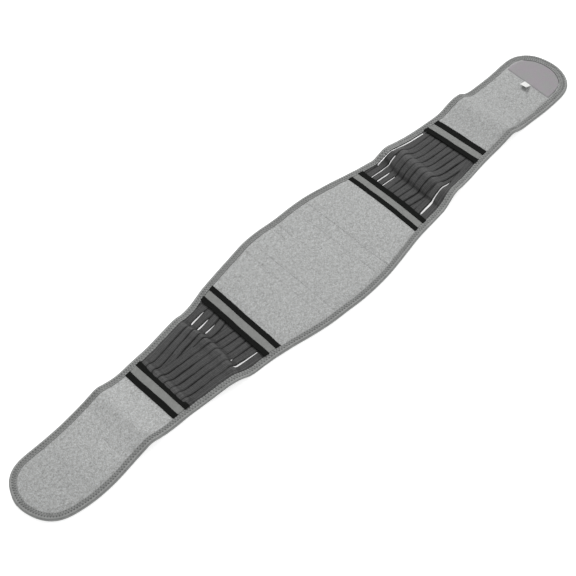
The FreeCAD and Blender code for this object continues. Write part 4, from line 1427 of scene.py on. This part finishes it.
def band_painted_shading(side, number, A, hump, before, after):
    """Painted light (+) and painted shade (-) of a band, from the slope and bend of the fold."""
    rise = (after - before) / 3.0
    turn = (after - 2 * hump + before) / 2.25
    painted_light_shade = 0.22 * np.clip(-turn / 0.14, 0, 1) - 0.22 * np.clip(turn / 0.14, 0, 1)
    if side == "left":
        return painted_light_shade - 0.14 * np.clip(rise / 1.2, 0, 1) - 0.05 * np.clip(-rise / 0.3, 0, 1)
    painted_light_shade = painted_light_shade - 0.17 * np.clip(rise / 0.9, 0, 1) + 0.10 * np.clip(-rise / 0.8, 0, 1)
    # the lowest bands slide under their neighbour; painted shadow along the lower edge of band 7
    # and the upper edge of band 8 beneath it
    if number == 7:
        painted_light_shade = painted_light_shade - 0.60 * smooth((-ACROSS - 0.62) / 0.3)[None] * window(A, 140, 268, 6)
    if number == 8:
        painted_light_shade = painted_light_shade - 0.30 * smooth((ACROSS - 0.55) / 0.3)[None] * window(A, 140, 268, 6)
    return painted_light_shade


def strap_panel(side, x0, x1, joint, name, *nodes):
    """The elastic bands of one side between two distances from the middle."""
    sign = dict(SIDES)[side]
    spec = PANELS[side]
    width = spec["width"]
    along = np.arange(x0, x1 + 0.01, 1.5)
    along[-1] = x1
    upper, lower = inset_edges(FLANGE)[:2]
    flange_upper, flange_lower = upper(sign * along), lower(sign * along)
    centres, up, low, tuck = band_layout(side, along, flange_upper, flange_lower)
    heights = stack_bands(spec, centres, up, low, tuck)
    A = np.repeat(along[:, None], len(ACROSS), 1)
    squeeze = SQUEEZE(A)
    thick = PLY * squeeze
    idx = np.arange(A.size).reshape(A.shape)
    top_faces = sheet_faces(idx, np.ones((A.shape[0] - 1, A.shape[1] - 1), bool))
    band_faces = [top_faces, top_faces[:, [0, 3, 2, 1]] + A.size]
    for line in (idx[::-1, -1], idx[:, 0], idx[0, ::-1], idx[-1, :]):
        band_faces.append(np.stack([line[:-1] + A.size, line[1:] + A.size,
                                    line[1:], line[:-1]], 1))
    band_faces = np.vstack(band_faces)
    lap = 0.32 * (smooth((-ACROSS - 0.72) / 0.2) - smooth((ACROSS - 0.72) / 0.2))
    rim = np.clip((np.abs(ACROSS) - 0.87) / 0.13, 0, 1)
    rounding = (1 - np.sqrt(np.clip(1 - rim ** 2, 0, 1)))[None] * thick * 0.42
    order = slice(None, None, sign)       # rows always run along +X
    verts, faces, uvs, painted_shading = [], [], [], []
    for i, centre in enumerate(centres):
        w = np.where(ACROSS[None] > 0, up[i][:, None], low[i][:, None]) * ACROSS[None]
        Y = centre[:, None] + w
        # gentle differences between neighbours keep the bands apart
        jitter = 0.25 * math.sin(i * 2.4 + 0.6)
        shifted = (A - CREST[side](Y) * window(A, 176, 232, 26)
                   + jitter * window(A, 182, 225, 16))
        before, hump, after = (HUMP[side](shifted + step) * HUMP_Y[side](Y)
                               for step in (-1.5, 0, 1.5))
        near = np.maximum(smooth((Y - flange_upper[:, None] + 12) / 12),
                          smooth((flange_lower[:, None] + 10 - Y) / 10))
        sewn = np.where(Y > 0, LIFT_UPPER(sign * A), LIFT_LOWER(sign * A)) + 1.05
        Z = ((FLOOR(A) + hump) * (1 - near) + np.maximum(sewn, FLOOR(A) * (1 - near)) * near
             + heights[i][:, None] * squeeze * (1 - 0.8 * near))
        Z = Z + (-0.10 * ACROSS + lap)[None] * squeeze * (1 - 0.7 * near)
        Z = Z + (0.10 * np.sin(A / 7.0 + i * 1.9) * np.sin(A / 3.1 + i)
                 * window(A, 160, 258, 10))
        Z = Z + 0.26 * (1 - ACROSS[None] ** 2)
        rib = 0.07 * np.cos((w + width / 2) * 2 * math.pi / (width / 6)) * (np.abs(ACROSS) < 0.93)
        for z in (Z + thick - rounding - rib * squeeze, Z + rounding):
            verts.append(np.stack([sign * A[order], Y[order], z[order]], -1).reshape(-1, 3))
        faces.append(band_faces + 2 * A.size * i)
        across = (ACROSS + 1) * BAND_UV_WIDTH / 2 + BAND_UV_START + i * BAND_UV_PITCH
        uv = np.stack([A[order].ravel() + i * 17.3, np.tile(across, len(along))], 1)
        uvs += [uv, uv]
        painted_light_shade = band_painted_shading(side, i, A, hump, before, after)[order]
        painted_shading.append(np.tile(painted_light_shade.ravel(), 2))
    ob = make(name, np.vstack(verts), np.vstack(faces), np.vstack(uvs), M_ELASTIC)
    # per-vertex painted light and shade for the elastic's material
    layer = ob.data.attributes.new("painted_shading", "FLOAT", "POINT")
    layer.data.foreach_set("value", np.concatenate(painted_shading).astype(np.float32))
    settle(ob, (joint, side), "ribbed_elastic", *nodes)


# ------------------------------------------------------------------ stays
def stay_piece(name, x, width, half, body, node, ribbed):
    """Moulded stay with rounded ends, some with shallow lengthwise ribs, between the layers."""
    cols = np.array([-1, -.96, -.88, -.7, -.5, -.3, -.1, .1, .3, .5, .7, .88, .96, 1.0])
    radius = 3.5
    cap = radius * (1 - np.cos(np.linspace(0, math.pi / 2, 8)))
    ys = np.concatenate([-half + cap, np.arange(-half + 6, half - 5, 3.0), half - cap[::-1]])
    ys = np.unique(np.round(ys, 3))
    inset = np.minimum(ys + half, half - ys)
    corner = radius - np.sqrt(np.clip(radius ** 2 - (radius - inset) ** 2, 0, None))
    half_width = width / 2 - np.where(inset < radius, corner, 0)
    X = x + cols[:, None] * half_width[None]
    Y = np.repeat(ys[None], len(cols), 0)
    rise = lift(np.full_like(X, x), Y)
    lo, hi = cad(node)
    rounding = (0.35 * np.clip((np.abs(cols) - 0.86) / 0.14, 0, 1) ** 2)[:, None]
    top = rise + hi[2] - 0.22 - rounding
    if ribbed:
        ribs = 0.22 * (np.cos(cols * math.pi * 3.5) > 0.2) * (np.abs(cols) < 0.8)
        top = top + ribs[:, None] * (inset > 5)[None]
    settle(slab(name, X, Y, top, rise + lo[2] + rounding, M_STAY), body, "stay_plastic", node)


# ------------------------------------------------------------------ hook patch and tag
patch_upper, patch_lower, _, _patch_end = inset_edges(FLANGE + 3.1)
PATCH_END = _patch_end - 0.6
PATCH_X = 440.0               # where the patch grid starts


def patch_ground():
    angle = np.linspace(0, math.pi / 2 * 0.985, 46)
    share = np.sin(angle) / math.sin(angle[-1])
    v = np.linspace(0, 1, 62)
    X = np.repeat((PATCH_X + (PATCH_END - PATCH_X) * share)[:, None], len(v), 1)
    Y = patch_lower(X) + (patch_upper(X) - patch_lower(X)) * v[None]
    X = X + (patch_start(Y) - PATCH_X) * (1 - share)[:, None]
    Y = np.clip(Y, patch_lower(X), patch_upper(X))
    d = edge_distance(X, Y)
    base = lining_top(X, Y, d)
    rim = np.clip(np.minimum(X - patch_start(Y), d - FLANGE - 2.9) / 1.4, 0, 1)
    thick = 0.25 + 0.5 * np.sqrt(1 - (1 - rim) ** 2)
    seam = 0.18 * np.exp(-((X - patch_start(Y) - 2.0) / 0.7) ** 2)
    ob = slab("hook_patch_ground", X, Y, base + thick - seam, base + 0.03, M_HOOK)
    settle(ob, "tip_right", "hook_tape", "hook_patch")


def patch_hooks():
    """Moulded hooks in staggered rows."""
    pitch, first_y = 1.9, -40.0
    rng = np.random.default_rng(7)
    t = np.linspace(0, 1, 5)
    parts = []
    for row_y in np.arange(first_y, 40.1, pitch):
        stagger = pitch / 2 * (int(round((row_y - first_y) / pitch)) % 2)
        for row_x in np.arange(442.6, 492.0, pitch):
            x = row_x + stagger + rng.uniform(-.12, .12)
            y = row_y + rng.uniform(-.12, .12)
            if x < patch_start(y) + 3.0:
                continue
            at = np.array([x]), np.array([y])
            d = edge_distance(*at)
            if (d[0] < FLANGE + 4.6 or x > PATCH_END - 2.0 or y > float(patch_upper(x)) - 1
                    or y < float(patch_lower(x)) + 1):
                continue
            z = float(lining_top(*at, d)[0]) + 0.72
            hook_x = x + 0.42 * np.sin(t * 2.6)
            hook_y = np.full(5, y)
            hook_z = z + 0.48 * (1 - (1 - t) ** 2) - 0.16 * t ** 4
            parts.append(tube(np.stack([hook_x, hook_y, hook_z], 1),
                              np.array([.17, .15, .13, .12, .10]),
                              np.stack([hook_x, hook_y], 1), 4))
    settle(make("hook_patch_hooks", *join(parts), M_HOOKS), "tip_right", "hook_tape")


def patch_stitches():
    ys = np.linspace(-39.5, 39.5, 90)
    run_of_stitches("patch_stitch", [on_lining(patch_start(ys) + 2.0, ys, 0.55)], "tip_right",
                    "hook_tape", raised=0.05, length=2.2, gap=1.0, radius=0.28,
                    material=M_SEAM_DARK)
    # painted shadow: a near-black, close-set thread where the patch meets the tape round the end,
    # laid in place of the shade in the groove there
    ids = np.array(runs(452, 520)[0]) % len(EDGE)
    ids = ids[np.abs(NORMAL[ids, 1]) < 0.80]
    inset = FLANGE + extra_flange(EDGE[ids, 0], NORMAL[ids, 1]) + 0.75
    xs, ys = (EDGE[ids] - NORMAL[ids] * inset[:, None]).T
    run_of_stitches("patch_edge_shadow_thread", [on_lining(xs, ys, 0.78)], "tip_right", "hook_tape",
                    raised=0.05, length=2.4, gap=0.25, radius=0.50, material=M_SHADOW_THREAD)


def size_tag():
    """Folded ribbon caught in the patch seam, standing up towards -X."""
    lo, hi = cad("size_tag")
    y0, y1 = lo[1], hi[1]
    length, gap, ply = 15.6, 1.2, 0.34
    root_x, root_z = hi[0], cad("tip_inner_face_right")[1][2] + 0.95
    tilt = math.radians(23)
    # loop in the tag's own plane: out along the lower ply, round the fold, back along the upper
    straight = length - 0.9
    t = np.linspace(0, 1, 12)
    low_leg = np.stack([t * straight, -gap / 2 * (0.35 + 0.65 * t)], 1)
    a = np.linspace(0.35, math.pi - 0.35, 7)
    fold = np.stack([straight + 0.75 * np.sin(a), -gap / 2 * np.cos(a)], 1)
    mid = np.vstack([low_leg, fold, low_leg[::-1] * [1, -1]])
    tangent = np.gradient(mid, axis=0)
    tangent /= np.linalg.norm(tangent, axis=1)[:, None]
    normal = np.stack([tangent[:, 1], -tangent[:, 0]], 1)
    loop = np.vstack([mid + normal * ply / 2, (mid - normal * ply / 2)[::-1]])
    out, high = loop.T
    s = np.concatenate([[0], np.cumsum(np.linalg.norm(np.diff(mid, axis=0), axis=1))])
    s = np.concatenate([s, s[::-1]])
    high = high + 0.004 * out ** 2        # the ribbon curls up
    rows, uvs = [], []
    for y in np.linspace(y0, y1, 16):
        e = (y - y0) / (y1 - y0) * 2 - 1
        bow = 0.0072 * np.clip(out, 0, None) ** 1.5 * (1 - e * e)
        twist = -0.075 * e * out
        x = root_x - (out * math.cos(tilt) + high * math.sin(tilt)) + 0.07 * (y + 2.5)
        z = root_z + out * math.sin(tilt) + high * math.cos(tilt) + bow + twist
        rows.append(np.stack([x, y - 0.08 * out, z], 1))
        uvs.append(np.stack([s, np.full(len(s), y)], 1))
    verts, faces, caps = closed_sweep(np.array(rows))
    ob = make("size_tag_ribbon", verts, faces, np.vstack(uvs), M_TAG, caps)
    settle(ob, "size_tag", "tag_ribbon", "size_tag")


# ------------------------------------------------------------------ build
sheets = [simulate("sim_back", -124.0, 124.0), simulate("sim_left", None, -295.0),
          simulate("sim_right", 295.0, None)]
RISE_FIELDS += [(xs, lo, hi, tame(z)) for xs, lo, hi, z in sheets]

for zone in ZONES:
    lining_piece(*zone)
    foam_piece(*zone)
    face_piece(*zone)

back_span = (-SPLIT["back"], SPLIT["back"])
binding_piece("binding_back", back_span, "back_centre", "back_edge_binding")
zigzag("zigzag_back", back_span, "back_centre")
binding_lap()

# label, joint, from, to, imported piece
LENGTHS = (
    ("side", "side", SPLIT["back"], SPLIT["side"], "side_edge_binding_"),
    ("elastic_inner", "inner_straps", SPLIT["side"], SPLIT["elastic"], "elastic_edge_binding_"),
    ("elastic_outer", "outer_straps", SPLIT["elastic"], SPLIT["outer"],
     "outer_junction_binding_"),
    ("front", "front", SPLIT["outer"], SPLIT["front"], "front_edge_binding_"),
    ("tip", "tip", SPLIT["front"], 560.0, "tip_edge_binding_"),
)
for side, sign in SIDES:
    for label, joint, start, end, node in LENGTHS:
        span = (start, end) if sign > 0 else (-end, -start)
        binding_piece(f"binding_{label}_{side}", span, (joint, side), node + side)
        zigzag(f"zigzag_{label}_{side}", span, (joint, side))

for side, sign in SIDES:
    inner_body, outer_body = "side_" + side, "outer_junction_" + side
    seed = 1.7 if side == "right" else 4.1
    junction("inner", side, inner_body, seed)
    junction("outer", side, outer_body, seed + 3)
    tape_strip("junction_backing_" + side, 264.0, 294.8, side, M_LOOP, outer_body,
               "loop_fabric", ["outer_junction_backing_" + side], bottom=0.8, top=1.6,
               inset=4.0, lean=0.0, seed=seed + 6, wobble=0.0, edge=0.2)
    strap_panel(side, 138.0, SPLIT["elastic"], "inner_straps", "elastic_straps_inner_" + side,
                "elastic_straps_" + side)
    strap_panel(side, SPLIT["elastic"], 277.0, "outer_straps", "elastic_straps_outer_" + side)
    for label, x, width, half, body, node in (
            ("back", STAY_X, 14.0, 68.0, "back_centre", "back_stay_"),
            ("inner_junction", 131.5, 8.0, 59.0, inner_body, "inner_junction_stay_"),
            ("outer_junction", 284.0, 8.0, 43.0, outer_body, "outer_junction_stay_")):
        stay_piece(f"stay_{label}_{side}", sign * x, width, half, body, node + side,
                   ribbed=label == "back")

# stitched channels of the back section; the right-hand outer one is heavier
seam_upper, seam_lower = inset_edges(FLANGE + 0.6)[:2]
for side, number, seam, _ in CHANNELS:
    ys = np.linspace(float(seam_lower(seam)), float(seam_upper(seam)), 120)
    xs = seam + 0.25 * np.sin(ys / 17.0 + seam)
    heavy = side == "right" and number == 2
    run_of_stitches(f"channel_stitch_{side}_{number}", [on_lining(xs, ys)], "back_centre",
                    radius=0.30 if heavy else 0.19, material=M_SEAM_DARK if heavy else M_SEAM)
lines = []
for seam in CENTRE_X:
    ys = np.linspace(47.5, float(seam_upper(seam)), 40)
    lines.append(on_lining(np.full_like(ys, seam), ys))
run_of_stitches("centre_stitch", lines, "back_centre")

patch_ground()
patch_hooks()
patch_stitches()
size_tag()


# ------------------------------------------------------------------ floor, light, camera
def pale_floor():
    half, z = 4, -0.0004      # metres
    me = bpy.data.meshes.new("floor")
    me.from_pydata([(-half, -half, z), (half, -half, z), (half, half, z), (-half, half, z)],
                   [], [(0, 1, 2, 3)])
    floor = bpy.data.objects.new("floor", me)
    scene.collection.objects.link(floor)
    material, _, bsdf = new_material("pale_floor")
    bsdf.inputs["Base Color"].default_value = (0.80, 0.80, 0.80, 1)
    bsdf.inputs["Emission Color"].default_value = (1, 1, 1, 1)
    bsdf.inputs["Emission Strength"].default_value = 0.62
    bsdf.inputs["Roughness"].default_value = 0.9
    bsdf.inputs["Specular IOR Level"].default_value = 0.0
    me.materials.append(material)


def studio_world():
    world = bpy.data.worlds.new("studio")
    scene.world = world
    world.use_nodes = True
    background = world.node_tree.nodes["Background"]
    background.inputs["Color"].default_value = (1, 1, 1, 1)
    background.inputs["Strength"].default_value = 0.52


def area(name, location, size, power):
    """Round lamp aimed at the origin; metres and watts."""
    lamp = bpy.data.lights.new(name, "AREA")
    lamp.shape = "DISK"
    lamp.size = size
    lamp.energy = power
    ob = bpy.data.objects.new(name, lamp)
    scene.collection.objects.link(ob)
    ob.location = location
    ob.rotation_mode = "QUATERNION"
    ob.rotation_quaternion = (-Vector(location)).to_track_quat("-Z", "Y")


def camera():
    data = bpy.data.cameras.new("camera")
    ob = bpy.data.objects.new("camera", data)
    scene.collection.objects.link(ob)
    data.sensor_width = 36.0
    data.lens = 72.3
    data.clip_start, data.clip_end = 0.05, 50
    # columns: the camera's right, up and backward directions, and its place in metres
    ob.matrix_world = Matrix((
        (0.7082016, 0.5910572, -0.3861371, -0.63557),
        (-0.7055468, 0.5726879, -0.4174115, -0.63030),
        (-0.0255781, 0.5680493, 0.8225970, 1.23279),
        (0, 0, 0, 1)))
    scene.camera = ob


pale_floor()
studio_world()
area("key", location=(1.0, 1.7, 2.4), size=1.3, power=47)
area("fill", location=(1.2, -0.8, 2.6), size=2.4, power=9)
camera()
scene.view_settings.view_transform = "Standard"
scene.view_settings.look = "None"

bpy.context.view_layer.update()
